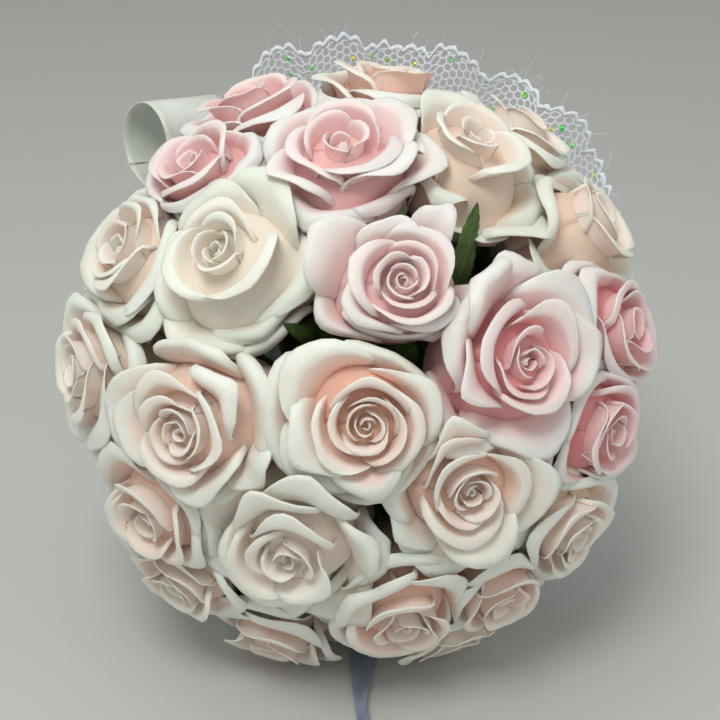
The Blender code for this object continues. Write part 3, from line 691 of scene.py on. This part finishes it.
def leaflet(shell, foot, along, across, long, half_width):
    """A small toothed leaf under a bloom, folded on its midrib and curling down at the tip."""
    lift = across.cross(along)
    made = grid(shell, 4, 14)
    for vert in made:
        u, t = vert.co.x, (vert.co.y + 1) / 2
        outline = math.sin(math.pi * min(t * 0.97 + 0.02, 1) ** 0.8) ** 0.7
        wide = half_width * outline * toothed(u, t, 7)
        bend = -0.22 * wide * (1 - abs(u)) - 0.16 * long * t * t
        vert.co = DOME @ (foot + along * long * t + across * wide * u + lift * bend)
    faces = faces_of(made)
    for face in faces:
        face.material_index = 1
    bmesh.ops.solidify(shell, geom=faces, thickness=LEAF_THICK)


def stem(name, slot, green, leaf_skin):
    """A rose's stem with nodes where leaves were stripped, the green cup, and five sepals."""
    axis = direction(*ROSES[name][:2])
    planes = room_planes(name)
    route = stem_route(axis, BLOOM_BASE - 9 * MM, slot)
    chance = random.Random(name + " stem")
    spin = chance.uniform(0, 6.28)
    knees = [chance.uniform(0.3, 0.8) for _ in range(3)]
    shell = new_shell("blade")

    def place(angle, share):
        way = way_at(route, share)
        side = Vector((0, 1, 0)).cross(way).normalized()
        out = side * math.cos(angle + spin) + way.cross(side) * math.sin(angle + spin)
        wide = STEM_WIDTH / 2 * (1 + 0.05 * noise.noise(Vector((share * 9, spin, 0))))
        wide += sum(0.35 * MM * math.exp(-(((share - knee) / 0.012) ** 2)) for knee in knees)
        return DOME @ (along_path(route, share) + out * wide)

    tube(shell, 12, 40, place)

    def cup(angle, share):
        wide = 2.6 + 3.2 * math.sin(math.pi * min(share * 1.15, 1)) ** 1.5
        rise = -10 * MM + share * 9.2 * MM
        return DOME @ (axis * (BLOOM_BASE + rise) + turned(axis, angle) * wide * MM)

    tube(shell, 14, 7, cup)
    for i in range(SEPALS):
        made = grid(shell, 4, 9, False)
        sepal_angle = spin + 2 * math.pi * i / SEPALS + chance.uniform(-0.15, 0.15)
        length = chance.uniform(20, 27) * MM
        rise = chance.uniform(4.0, 13.0) * MM
        for vert in made:
            u, t = vert.co.x, (vert.co.y + 1) / 2
            wide = 3.2 * MM * (math.sin(math.pi * min(t * 0.9 + 0.16, 1)) ** 0.8) * (1 - 0.5 * t)
            way = turned(axis, sepal_angle)
            reach = 3.6 * MM + length * t
            foot = axis * (BLOOM_BASE - 2.4 * MM + rise * t**3 + 0.8 * MM * u * u)
            reach = min(reach, room(planes, foot, way))
            vert.co = DOME @ (foot + way * reach + axis.cross(way) * wide * u)
        faces = faces_of(made)
        bmesh.ops.solidify(shell, geom=faces, thickness=0.5 * MM)
    for i in range(LEAFLETS):
        leaf_angle = spin + 0.5 + 2 * math.pi / LEAFLETS * i + chance.uniform(-0.2, 0.2)
        out = turned(axis, leaf_angle)
        tilt = chance.uniform(0.05, 0.3) if i % 2 else chance.uniform(0.4, 0.75)
        foot = axis * (BLOOM_BASE - chance.uniform(6.5, 10) * MM) + out * 2.6 * MM
        along = (out + axis * tilt).normalized()
        leaflet(shell, foot, along, axis.cross(out), chance.uniform(27, 34) * MM, chance.uniform(8, 10) * MM)
    node = name.replace("rose", "stem")
    finish_piece(f"green_{name[-2:]}", shell, [green, leaf_skin], [node])


def leaf(name, slot, green):
    """A rose leaf on its stalk, folded a little on its midrib, with saw teeth."""
    polar, round_axis, _, lean_way, lean, half_width = LEAVES[name]
    axis = direction(polar, round_axis)
    lean_axis = turned(axis, math.radians(lean_way))
    across = axis.cross(lean_axis)
    route = stem_route(axis, 66 * MM, slot)
    shell = new_shell("blade")

    def place(angle, share):
        way = way_at(route, share)
        side = (across - way * across.dot(way)).normalized()
        out = side * math.cos(angle) + way.cross(side) * math.sin(angle)
        return DOME @ (along_path(route, share) + out * (2.2 - 1.1 * smooth((share - 0.3) / 0.3)) * MM)

    tube(shell, 8, 30, place)
    back, reach, aside = (9, 21, -4.5) if half_width > 5 else (0.45 * lean, lean, 0)
    teeth = 13 if half_width > 5 else 9
    made = grid(shell, 10, teeth * 4)
    for vert in made:
        u, t = vert.co.x, (vert.co.y + 1) / 2
        outline = math.sin(math.pi * min(t * 0.985 + 0.012, 1) ** 0.85) ** 0.75
        wide = half_width * MM * outline * toothed(u, t, teeth)
        centre = axis * (LEAF_FOOT + (LEAF_TIP - LEAF_FOOT) * t) + lean_axis * (reach * t**1.6 - back) * MM
        centre += across * aside * MM * t
        fold = -0.22 * wide * (1 - abs(u)) + 0.5 * MM * math.sin(t * 14 + u * 2) * abs(u)
        vert.co = DOME @ (centre + across * wide * u + lean_axis * fold)
    faces = faces_of(made)
    bmesh.ops.solidify(shell, geom=faces, thickness=LEAF_THICK)
    finish_piece(name.replace("leaf", "blade"), shell, [green], [name])


# Cut rose stems: living bark, smooth and waxy, green with paler streaks along it
def stem_material():
    made, tree, shader = new_material("rose stem, waxy green bark")
    where = add(tree, "ShaderNodeTexCoord").outputs["Object"]
    # Streaks 1 mm wide and about 12 mm long, along the handle
    longer = add(
        tree, "ShaderNodeMapping", {"Vector": where, "Rotation": (TILT, 0, 0), "Scale": (900, 80, 900)}
    ).outputs["Vector"]
    streaks = mottle(tree, longer, 1.0, 3.0)
    colour = ramped(tree, streaks, [(0.30, "#2F4A22"), (0.52, "#4D6B33"), (0.75, "#8A9A58")])
    finish_material(tree, shader, colour, streaks, 0.3, 0.0004, {"Roughness": 0.42})
    return made


# Rose leaf: waxy cuticle, dark green, with a paler midrib and side veins that run out to the teeth
def leaf_material():
    made, tree, shader = new_material("rose leaf, waxy cuticle")
    marks = add(tree, "ShaderNodeUVMap", uv_map="blade").outputs["UV"]
    parts = add(tree, "ShaderNodeSeparateXYZ", {"Vector": marks})
    off = maths(tree, "ABSOLUTE", maths(tree, "SUBTRACT", parts.outputs["X"], 0.5))
    # Side veins leave the midrib every 3.5 mm and climb towards the tip
    climb = maths(tree, "MULTIPLY_ADD", off, -0.45, parts.outputs["Y"])
    waves = maths(tree, "SINE", maths(tree, "MULTIPLY", climb, 82.0))
    side_veins = remap(tree, waves, {"From Min": 0.82, "From Max": 1.0})
    midrib = remap(tree, off, {"From Min": 0.045, "From Max": 0.015})
    veins = maths(tree, "MAXIMUM", side_veins, midrib)
    where = add(tree, "ShaderNodeTexCoord").outputs["Object"]
    blade = ramped(tree, mottle(tree, where, 160.0, 3.0), [(0.3, "#35562A"), (0.7, "#557A3E")])
    colour = blend(tree, maths(tree, "MULTIPLY", veins, 0.55), blade, "#7F9560")
    finish_material(tree, shader, colour, veins, 0.4, 0.0004, {"Roughness": 0.38}, invert=True)
    return made


bark = stem_material()
leaf_green = leaf_material()
slots = stem_places()
for name in ROSES:
    stem(name, slots[name], bark, leaf_green)
for name in LEAVES:
    leaf(name, slots[name], leaf_green)

# Lace collar: neck and depths as in the part's source, its edge within about 2 mm of the one there
COLLAR_NECK = 17.8 * MM
COLLAR_NECK_Z = (-74.4 * MM, -64 * MM)
COLLAR_EDGE_Z = -15 * MM
COLLAR_SIDE_RISE = 15 * MM
COLLAR_WAVES = 16
NET_CELL = 3.0 * MM
NET_THREAD = 0.75 * MM
NET_FOOT = 0.60  # share of the way from the neck to the edge where the lace is sewn to the tulle
NET_RADIUS = 118 * MM  # where its cells are counted
NET_ROWS = 10
LACE_ARCS = 32
TULLE_EDGE = 0.64  # share of the way to the edge that the tulle reaches
TULLE_PLEATS = 48
CORD_SCALLOPS = 150
LOOSE_THREADS = 60
SEQUINS = 420


def collar_edge(angle):
    """Radius of the lace's edge: wide over the top, narrow at the loop and below, in larger arcs."""
    off_top = abs((math.degrees(angle) - 75 + 180) % 360 - 180)
    off_loop = abs((math.degrees(angle) - 134 + 180) % 360 - 180)
    wide = smooth((60 - off_top) / 34)
    loop_side = smooth((26 - off_loop) / 16)
    low = smooth((-math.sin(angle) - 0.55) / 0.35)
    notch = (1 - abs(math.sin(LACE_ARCS / 2 * angle + 0.5))) ** 2
    return (109 + 23 * wide - 14 * loop_side - 13 * low - 5 * notch) * MM


def collar_point(angle, share, lift=0.0):
    """A point of the collar: share 0 at the neck and 1 at the edge."""
    edge = collar_edge(angle) + 1.5 * MM * math.cos(1.5 * COLLAR_WAVES * angle) * share**4
    edge_z = COLLAR_EDGE_Z + COLLAR_SIDE_RISE * math.cos(angle) ** 2
    radius = COLLAR_NECK + (edge - COLLAR_NECK) * share
    depth = COLLAR_NECK_Z[1] + (edge_z - COLLAR_NECK_Z[1]) * max(share, 0) ** 0.8
    depth += 4.2 * MM * math.sin(COLLAR_WAVES * angle) * share - 2 * MM * share + lift
    return Vector((radius * math.cos(angle), radius * math.sin(angle), depth))


def lace_net(white):
    """Six-sided net: a triangle net whose corners are cut by a third, then each cell is opened."""
    side = NET_CELL * math.sqrt(3)  # of the triangles
    around = round(2 * math.pi * NET_RADIUS / side)
    row_step = math.sqrt(3) / 2
    shell = bmesh.new()
    made = grid(shell, around, NET_ROWS, False)
    for vert in made:
        row = round((vert.co.y + 1) / 2 * NET_ROWS)
        column = round((vert.co.x + 1) / 2 * around) + row / 2
        vert.co = (column, row * row_step, 0)
    bmesh.ops.triangulate(shell, faces=shell.faces, quad_method="SHORT_EDGE")
    for vert in shell.verts:
        share = NET_FOOT + (1 - NET_FOOT) * vert.co.y / (NET_ROWS * row_step)
        vert.co = collar_point(2 * math.pi * vert.co.x / around, share)
    bmesh.ops.remove_doubles(shell, verts=shell.verts, dist=0.05 * MM)
    bmesh.ops.bevel(
        shell, geom=list(shell.verts), offset=33.333, offset_type="PERCENT", segments=1, profile=0.5,
        affect="VERTICES", material=-1,
    )
    cells = list(shell.faces)
    bmesh.ops.inset_individual(shell, faces=cells, thickness=NET_THREAD / 2, use_even_offset=True)
    bmesh.ops.delete(shell, geom=cells, context="FACES_ONLY")
    for vert in shell.verts:
        vert.co = DOME @ vert.co
    return finish_piece("lace_net", shell, [white], ["lace_collar"], 0.45 * MM)


def collar_base(cloth):
    """Tulle gathered round the stems, in pleats that soften towards the lace."""
    shell = new_shell("weave")
    made = grid(shell, 288, 12)
    for vert in made:
        angle = math.pi * vert.co.x
        run = (vert.co.y + 1) / 2
        share = TULLE_EDGE * max(run - 0.12, 0) / 0.88
        pleat = math.sin(TULLE_PLEATS * angle + 1.4 * math.sin(5 * angle))
        pleat *= (0.5 + 1.6 * smooth(run * 2.2)) * MM
        point = collar_point(angle, share, 0.6 * pleat * (1 - 0.5 * run))
        if run < 0.12:
            point.z = COLLAR_NECK_Z[1] - (0.12 - run) / 0.12 * 9.5 * MM
        flat = Vector((point.x, point.y, 0)).normalized()
        point += flat * (0.35 * pleat * (1 - run) + 0.4 * MM)
        vert.co = DOME @ point
    bmesh.ops.remove_doubles(shell, verts=shell.verts, dist=0.01 * MM)
    return finish_piece("collar_tulle", shell, [cloth], ["lace_collar"], 0.25 * MM)


def lace_cord(white):
    """The corded border in small scallops, a second cord inside it, and some loose threads."""
    shell = bmesh.new()

    def border(angle, share):
        way = 2 * math.pi * share
        bump = abs(math.sin(CORD_SCALLOPS * way / 2))
        bump *= (2.0 + 1.6 * noise.noise(Vector((way * 30, 0, 5)))) * MM
        inside = collar_point(way, 0.97)
        edge = collar_point(way, 1.0)
        out = (edge - inside).normalized()
        centre = edge + out * (bump - 0.5 * MM)
        centre.z += 0.8 * MM * noise.noise(Vector((way * 40, 0, 0)))
        flat = Vector((-math.sin(way), math.cos(way), 0)).cross(out)
        thick = (1.15 + 0.7 * noise.noise(Vector((way * 90, 7, 0)))) * MM
        return centre + (out * math.cos(angle) + flat * math.sin(angle)) * thick

    def inner(angle, share):
        way = 2 * math.pi * share
        dip = 0.905 - 0.05 * abs(math.sin(COLLAR_WAVES * way)) + 0.012 * math.sin(90 * way)
        centre = collar_point(way, dip)
        out = (collar_point(way, dip + 0.03) - centre).normalized()
        flat = Vector((-math.sin(way), math.cos(way), 0)).cross(out)
        thick = (0.9 + 0.6 * noise.noise(Vector((way * 80, 3, 0)))) * MM
        return centre + (out * math.cos(angle) + flat * math.sin(angle)) * thick

    for place, count in ((border, CORD_SCALLOPS * 6), (inner, COLLAR_WAVES * 30)):
        made = grid(shell, count, 6, False)
        for vert in made:
            vert.co = place(math.pi * vert.co.y, (vert.co.x + 1) / 2)
        bmesh.ops.remove_doubles(shell, verts=made, dist=0.01 * MM)
    chance = random.Random("loose threads")
    for _ in range(LOOSE_THREADS):
        way = math.radians(chance.uniform(-10, 130))
        foot = collar_point(way, 1.0)
        out = (foot - collar_point(way, 0.95)).normalized()
        bend = Vector((chance.uniform(-1, 1), chance.uniform(-1, 1), chance.uniform(-1, 1)))
        long = chance.uniform(3, 9) * MM
        route = [foot, foot + out * long * 0.5, foot + out * long * 0.8 + bend * long * 0.5,
                 foot + out * long * 0.7 + bend * long * 0.9]

        def thread(angle, share):
            side = Vector((math.cos(angle), math.sin(angle), 0)) * 0.13 * MM
            return along_path(route, share) + side

        tube(shell, 3, 9, thread)
    for vert in shell.verts:
        vert.co = DOME @ vert.co
    bmesh.ops.recalc_face_normals(shell, faces=shell.faces)
    return finish_piece("lace_cord", shell, [white], [])


def sequins(film):
    """Small foil discs sewn to the net here and there."""
    shell = bmesh.new()
    chance = random.Random("sequins")
    for _ in range(SEQUINS):
        angle = math.radians(chance.uniform(0, 360))
        point = collar_point(angle, chance.uniform(0.78, 0.98)) + Vector((0, 0, 0.7 * MM))
        made = bmesh.ops.create_cone(
            shell, cap_ends=True, segments=7, radius1=1.0 * MM, radius2=0.9 * MM, depth=0.15 * MM
        )["verts"]
        lean = Vector((point.x, point.y, -60 * MM)) * 6 + Vector([chance.uniform(-1, 1) for _ in range(3)])
        turn = Vector((chance.uniform(-1, 1), chance.uniform(-1, 1), 1.2)) + lean * 0.3
        matrix = turn.to_track_quat("Z", "Y").to_matrix()
        for vert in made:
            vert.co = DOME @ (point + matrix @ vert.co)
    return finish_piece("lace_sequins", shell, [film], [])


# Cotton lace: machine made, matt and a little fuzzy, white with a cold cast
def lace_material(name, colour, fine):
    made, tree, shader = new_material(name)
    where = add(tree, "ShaderNodeTexCoord").outputs["Object"]
    # Yarn twisted of several strands, which show as a fine mottle
    yarn = mottle(tree, where, fine, 4.0)
    tone = ramped(tree, yarn, [(0.3, colour[0]), (0.7, colour[1])])
    finish_material(tree, shader, tone, yarn, 0.6, 0.0003, {"Roughness": 0.85, "Sheen Weight": 0.3})
    return made


# Sequin film: thin foil, green to yellow from one disc to the next
def foil_material():
    made, tree, shader = new_material("sequin foil, iridescent film")
    where = add(tree, "ShaderNodeTexCoord").outputs["Object"]
    # Each disc is 2 mm across, so the hue changes every few discs
    drift = mottle(tree, where, 130.0, 1.0)
    hue = ramped(tree, drift, [(0.35, "#3FE07A"), (0.52, "#7CF05A"), (0.68, "#F0E43A")])
    tree.links.new(hue, shader.inputs["Base Color"])
    shader.inputs["Roughness"].default_value = 0.18
    shader.inputs["Metallic"].default_value = 0.55
    return made


white_cotton = lace_material("cotton lace, machine made", ("#D5DBE8", "#EEF1F8"), 1400.0)
net = lace_net(white_cotton)
tulle = collar_base(lace_material("nylon tulle, gathered", ("#DADFE8", "#EDF0F5"), 2200.0))
cord_edge = lace_cord(white_cotton)
foil = sequins(foil_material())

# Satin: the wound handle, the band with its knot, two loops, and the narrow ribbon
WRAP_TOP = -75 * MM
WRAP_END = -180 * MM
WRAP_OUTER = 18.7 * MM
BAND_Z = (-92 * MM, -80 * MM)
WRAP_TURNS = 4
WRAP_RIBBON = 30 * MM
BAND_THICK = 1.0 * MM
LOOP_WIDTH = 38
TAIL_WIDTH = 10
TAIL_TWIST = (0.45, 0, 0.89)
SATIN_THICK = 0.4 * MM
GAP = 0.3 * MM


def ribbon(
    name, route, sides, widths, steps, satin, node, across=10, pleats=0, floor=None, world=False
):
    """A ribbon along a route, gathered into pleats where it is narrow."""
    route = [Vector(point) * MM for point in route]
    sides = [Vector(side) for side in sides]
    spans = [Vector((width * MM, 0, 0)) for width in widths]
    widest = max(widths) * MM
    shell = new_shell("weave")
    made = grid(shell, across, steps)
    for vert in made:
        u, share = vert.co.x, (vert.co.y + 1) / 2
        way = way_at(route, share)
        side = along_path(sides, share)
        side = (side - way * side.dot(way)).normalized()
        flat = way.cross(side)
        span = along_path(spans, share).x
        spare = 1 - span / widest
        depth = pleats and 1.5 * MM * spare * math.sin(u * math.pi * pleats)
        wave = 0.5 * MM * noise.noise(Vector((share * 5, u * 0.8, len(name)))) * (span / widest)
        point = along_path(route, share) + side * span / 2 * u + flat * (depth + wave)
        if floor is not None:
            point.z = max(point.z, floor)
        vert.co = point if world else DOME @ point
    return finish_piece(name, shell, [satin], [node], SATIN_THICK)


def bow_loop_left(satin):
    """The loop that shows past the upper left blooms, open towards the left."""
    centre = Vector((-73.5, 95, -34))
    mouth = Vector((-0.72, -0.19, 0.667)).normalized()
    up = (Vector((0, 1, 0)) - mouth * mouth.y).normalized()
    right = up.cross(mouth)
    start, end = Vector((-9.8, 21.1, -84)), Vector((-9.8, 21.1, -88))
    leg = Vector((0.23, -0.25, 0.87)).normalized()
    loop = []
    for step in range(15):
        angle = math.radians(-25 + 253 * step / 14)
        loop.append(centre + right * 14.5 * math.cos(angle) + up * 16.5 * math.sin(angle))
    under = loop[-1] + right * 10.5 - up * 9.5
    rise = [bezier(start, start + Vector((-14, 18, 8)), loop[0] - up * 14, loop[0], i / 5) for i in range(5)]
    fall = [bezier(loop[-1], under, end + Vector((-16, 18, 4)), end, i / 5) for i in range(1, 6)]
    route = rise + loop + fall
    turning = [leg.lerp(mouth, smooth(i / 5)) for i in range(5)]
    sides = turning + [mouth] * 15 + turning[::-1]
    widths = [9, 13, 19, 26, 33] + [LOOP_WIDTH] * 15 + [33, 26, 19, 13, 9]
    return ribbon("satin_loop_left", route, sides, widths, 170, satin, "bow_loop_left", 12, 3)


def bow_loop_right(satin):
    route = [(9.8, 21.1, -84), (32, 38, -76), (58, 54, -64), (80, 66, -52), (92, 72, -54), (94, 70, -66),
             (82, 60, -80), (58, 48, -90), (32, 36, -93), (9.8, 21.1, -88)]
    widths = [9, 22, 34] + [LOOP_WIDTH] * 4 + [34, 22, 9]
    sides = [(-0.55, 0.8, 0.1)] * len(route)
    return ribbon("satin_loop_right", route, sides, widths, 90, satin, "bow_loop_right", 12, 3)


def tail():
    """The narrow ribbon: it drops from the band to the surface and runs out under the dome."""
    hang = DOME @ Vector((TAIL_X, -WRAP_OUTER - GAP - BAND_THICK - 2 * GAP, -86 * MM)) / MM
    shift = DOME_CENTRE / MM
    x = TAIL_X / MM + shift.x
    low = 0.25
    y = shift.y
    route = [
        (hang.x, hang.y, hang.z),
        (x, hang.y + 3, hang.z * 0.72),
        (x - 2, hang.y + 6, hang.z * 0.38),
        (x - 1, hang.y - 4, 5),
        (x, hang.y - 24, low),
        (x + 0.5, y + 20, low),
        (x, y - 20, low),
        (x, y - 60, low),
        (x - 1, y - 90, low),
        (x + 2, y - 116, low),
        (x + 7, y - 138, low),
    ]
    sides = [(1, 0, 0)] * 7 + [(0.95, 0, 0.3), TAIL_TWIST, TAIL_TWIST, (0.7, 0, 0.7)]
    return route, sides


def handle(satin):
    """One ribbon wound round the stems from the end up, each turn lying over a third of the last."""
    shell = new_shell("weave")
    length = WRAP_TOP - WRAP_END
    made = grid(shell, 8, 190)
    for vert in made:
        u, share = (vert.co.x + 1) / 2, (vert.co.y + 1) / 2
        angle = 2 * math.pi * WRAP_TURNS * share
        low = WRAP_END + (length - WRAP_RIBBON) * share
        radius = WRAP_OUTER - 0.7 * MM + 0.55 * MM * (1 - u) ** 0.6
        radius += 0.12 * MM * noise.noise(Vector((math.cos(angle) * 2, math.sin(angle) * 2, share * 30)))
        point = Vector((radius * math.cos(angle), radius * math.sin(angle), low + WRAP_RIBBON * u))
        vert.co = DOME @ point
    return finish_piece("satin_handle", shell, [satin], ["handle_wrap"], SATIN_THICK)


def band(satin):
    """The bow's band, pleated lengthwise, with the rounded knot that the loops come from."""
    shell = new_shell("weave")
    middle = sum(BAND_Z) / 2
    made = grid(shell, 16, 120)
    for vert in made:
        u, angle = vert.co.x, math.pi * vert.co.y + math.radians(90)
        pleat = 0.28 * MM * math.sin(u * 9 + 1.2 * math.sin(angle * 2))
        radius = WRAP_OUTER + GAP + BAND_THICK - 0.3 * MM + pleat
        point = Vector((radius * math.cos(angle), radius * math.sin(angle), middle + 6 * MM * u))
        vert.co = DOME @ point
    bmesh.ops.remove_doubles(shell, verts=shell.verts, dist=0.01 * MM)
    strip = finish_piece("satin_band", shell, [satin], ["bow_knot"], SATIN_THICK)
    shell = new_shell("weave")
    ball = bmesh.ops.create_uvsphere(shell, u_segments=48, v_segments=22, radius=1, calc_uvs=True)["verts"]
    for vert in ball:
        x, y, z = vert.co
        fold = 1 + 0.05 * math.sin(math.atan2(z, y) * 9 + x * 2) * (1 - abs(x)) + 0.10 * abs(x) ** 3
        point = Vector((
            math.copysign(abs(x) ** 0.8, x) * 9.5 * MM,
            WRAP_OUTER + 3.4 * MM + y * 4.6 * MM * fold,
            middle + z * 6.6 * MM * fold,
        ))
        vert.co = DOME @ point
    bmesh.ops.recalc_face_normals(shell, faces=shell.faces)
    knot = finish_piece("satin_knot", shell, [satin], ["bow_knot"])
    return strip, knot


# Polyester satin ribbon: warp-faced, so it is smooth with a long soft highlight and faint lines along it
def satin_material(name, colours, rough):
    made, tree, shader = new_material(name)
    marks = add(tree, "ShaderNodeUVMap", uv_map="weave").outputs["UV"]
    # Warp yarns are 0.1 mm apart, too fine to show: the lines here are about 0.5 mm apart
    lines = add(tree, "ShaderNodeMapping", {"Vector": marks, "Scale": (76, 5, 1)}).outputs["Vector"]
    warp = mottle(tree, lines, 1.0, 3.0)
    where = add(tree, "ShaderNodeTexCoord").outputs["Object"]
    mixed = maths(tree, "MULTIPLY_ADD", warp, 0.5, mottle(tree, where, 60.0, 1.0))
    tone = ramped(tree, mixed, [(0.45, colours[0]), (1.0, colours[1])])
    finish_material(tree, shader, tone, warp, 0.12, 0.0003, {
        "Roughness": rough, "Anisotropic": 0.5, "Sheen Weight": 0.2,
    })
    return made


ivory = satin_material("polyester satin ribbon, ivory", ("#C9CDC4", "#E4E8E4"), 0.33)
loop_left = bow_loop_left(ivory)
loop_right = bow_loop_right(ivory)
wound = handle(ivory)
band_strip, knot = band(ivory)
blue_grey = satin_material("polyester satin ribbon, blue grey", ("#6E7A90", "#98A3B8"), 0.38)
tail_route, tail_sides = tail()
tail_widths = [9] + [TAIL_WIDTH] * (len(tail_route) - 1)
narrow = ribbon(
    "narrow_tail", tail_route, tail_sides, tail_widths, 150, blue_grey, "ribbon_tail", 6,
    floor=0.45 * MM, world=True,
)

# Floor, lights and camera
floor_shell = bmesh.new()
bmesh.ops.create_grid(floor_shell, x_segments=1, y_segments=1, size=6)
floor_mesh = bpy.data.meshes.new("floor")
floor_shell.to_mesh(floor_mesh)
floor_shell.free()
floor = bpy.data.objects.new("floor", floor_mesh)
bpy.context.scene.collection.objects.link(floor)
# Matt studio paper: pale, even, no gloss
paper, _, paper_shader = new_material("studio paper, matt")
paper_shader.inputs["Base Color"].default_value = linear("#C2C2C1")
paper_shader.inputs["Roughness"].default_value = 0.9
floor_mesh.materials.append(paper)

bpy.context.scene.view_settings.view_transform = "Standard"
world = bpy.data.worlds.new("studio")
bpy.context.scene.world = world
world.use_nodes = True
world.node_tree.nodes["Background"].inputs["Color"].default_value = linear("#EAEDE8")
world.node_tree.nodes["Background"].inputs["Strength"].default_value = 0.56


def soft_light(name, place, size, power, colour):
    lamp = bpy.data.lights.new(name, "AREA")
    lamp.shape = "DISK"
    lamp.size = size
    lamp.energy = power
    lamp.color = linear(colour)[:3]
    made = bpy.data.objects.new(name, lamp)
    made.location = place
    made.rotation_euler = (DOME_CENTRE - Vector(place)).to_track_quat("-Z", "Y").to_euler()
    bpy.context.scene.collection.objects.link(made)


def studio(right, up, out):
    """A place in the studio, by where it is as the dome is seen face on."""
    return DOME_CENTRE + Vector((1, 0, 0)) * right + PHOTO_UP * up + FACE_ON * out


soft_light("key", studio(-0.22, 0.70, 1.05), 0.5, 7.2, "#FDFEF8")
soft_light("top", studio(-0.30, 1.20, 0.5), 0.8, 2.6, "#FFFFFA")
soft_light("fill", studio(0.9, 0.1, 0.9), 0.8, 1.0, "#F9FCF6")

CAMERA_AWAY = 0.6
CAMERA_LENS = 75.53
PHOTO_WIDTH = 720
camera_data = bpy.data.cameras.new("camera")
camera = bpy.data.objects.new("camera", camera_data)
bpy.context.scene.collection.objects.link(camera)
camera.location = DOME_CENTRE + FACE_ON * CAMERA_AWAY
camera.rotation_euler = (math.radians(90) - TILT, 0, 0)
camera_data.lens = CAMERA_LENS
camera_data.shift_x = 3 / PHOTO_WIDTH
camera_data.shift_y = 5 / PHOTO_WIDTH
bpy.context.scene.camera = camera
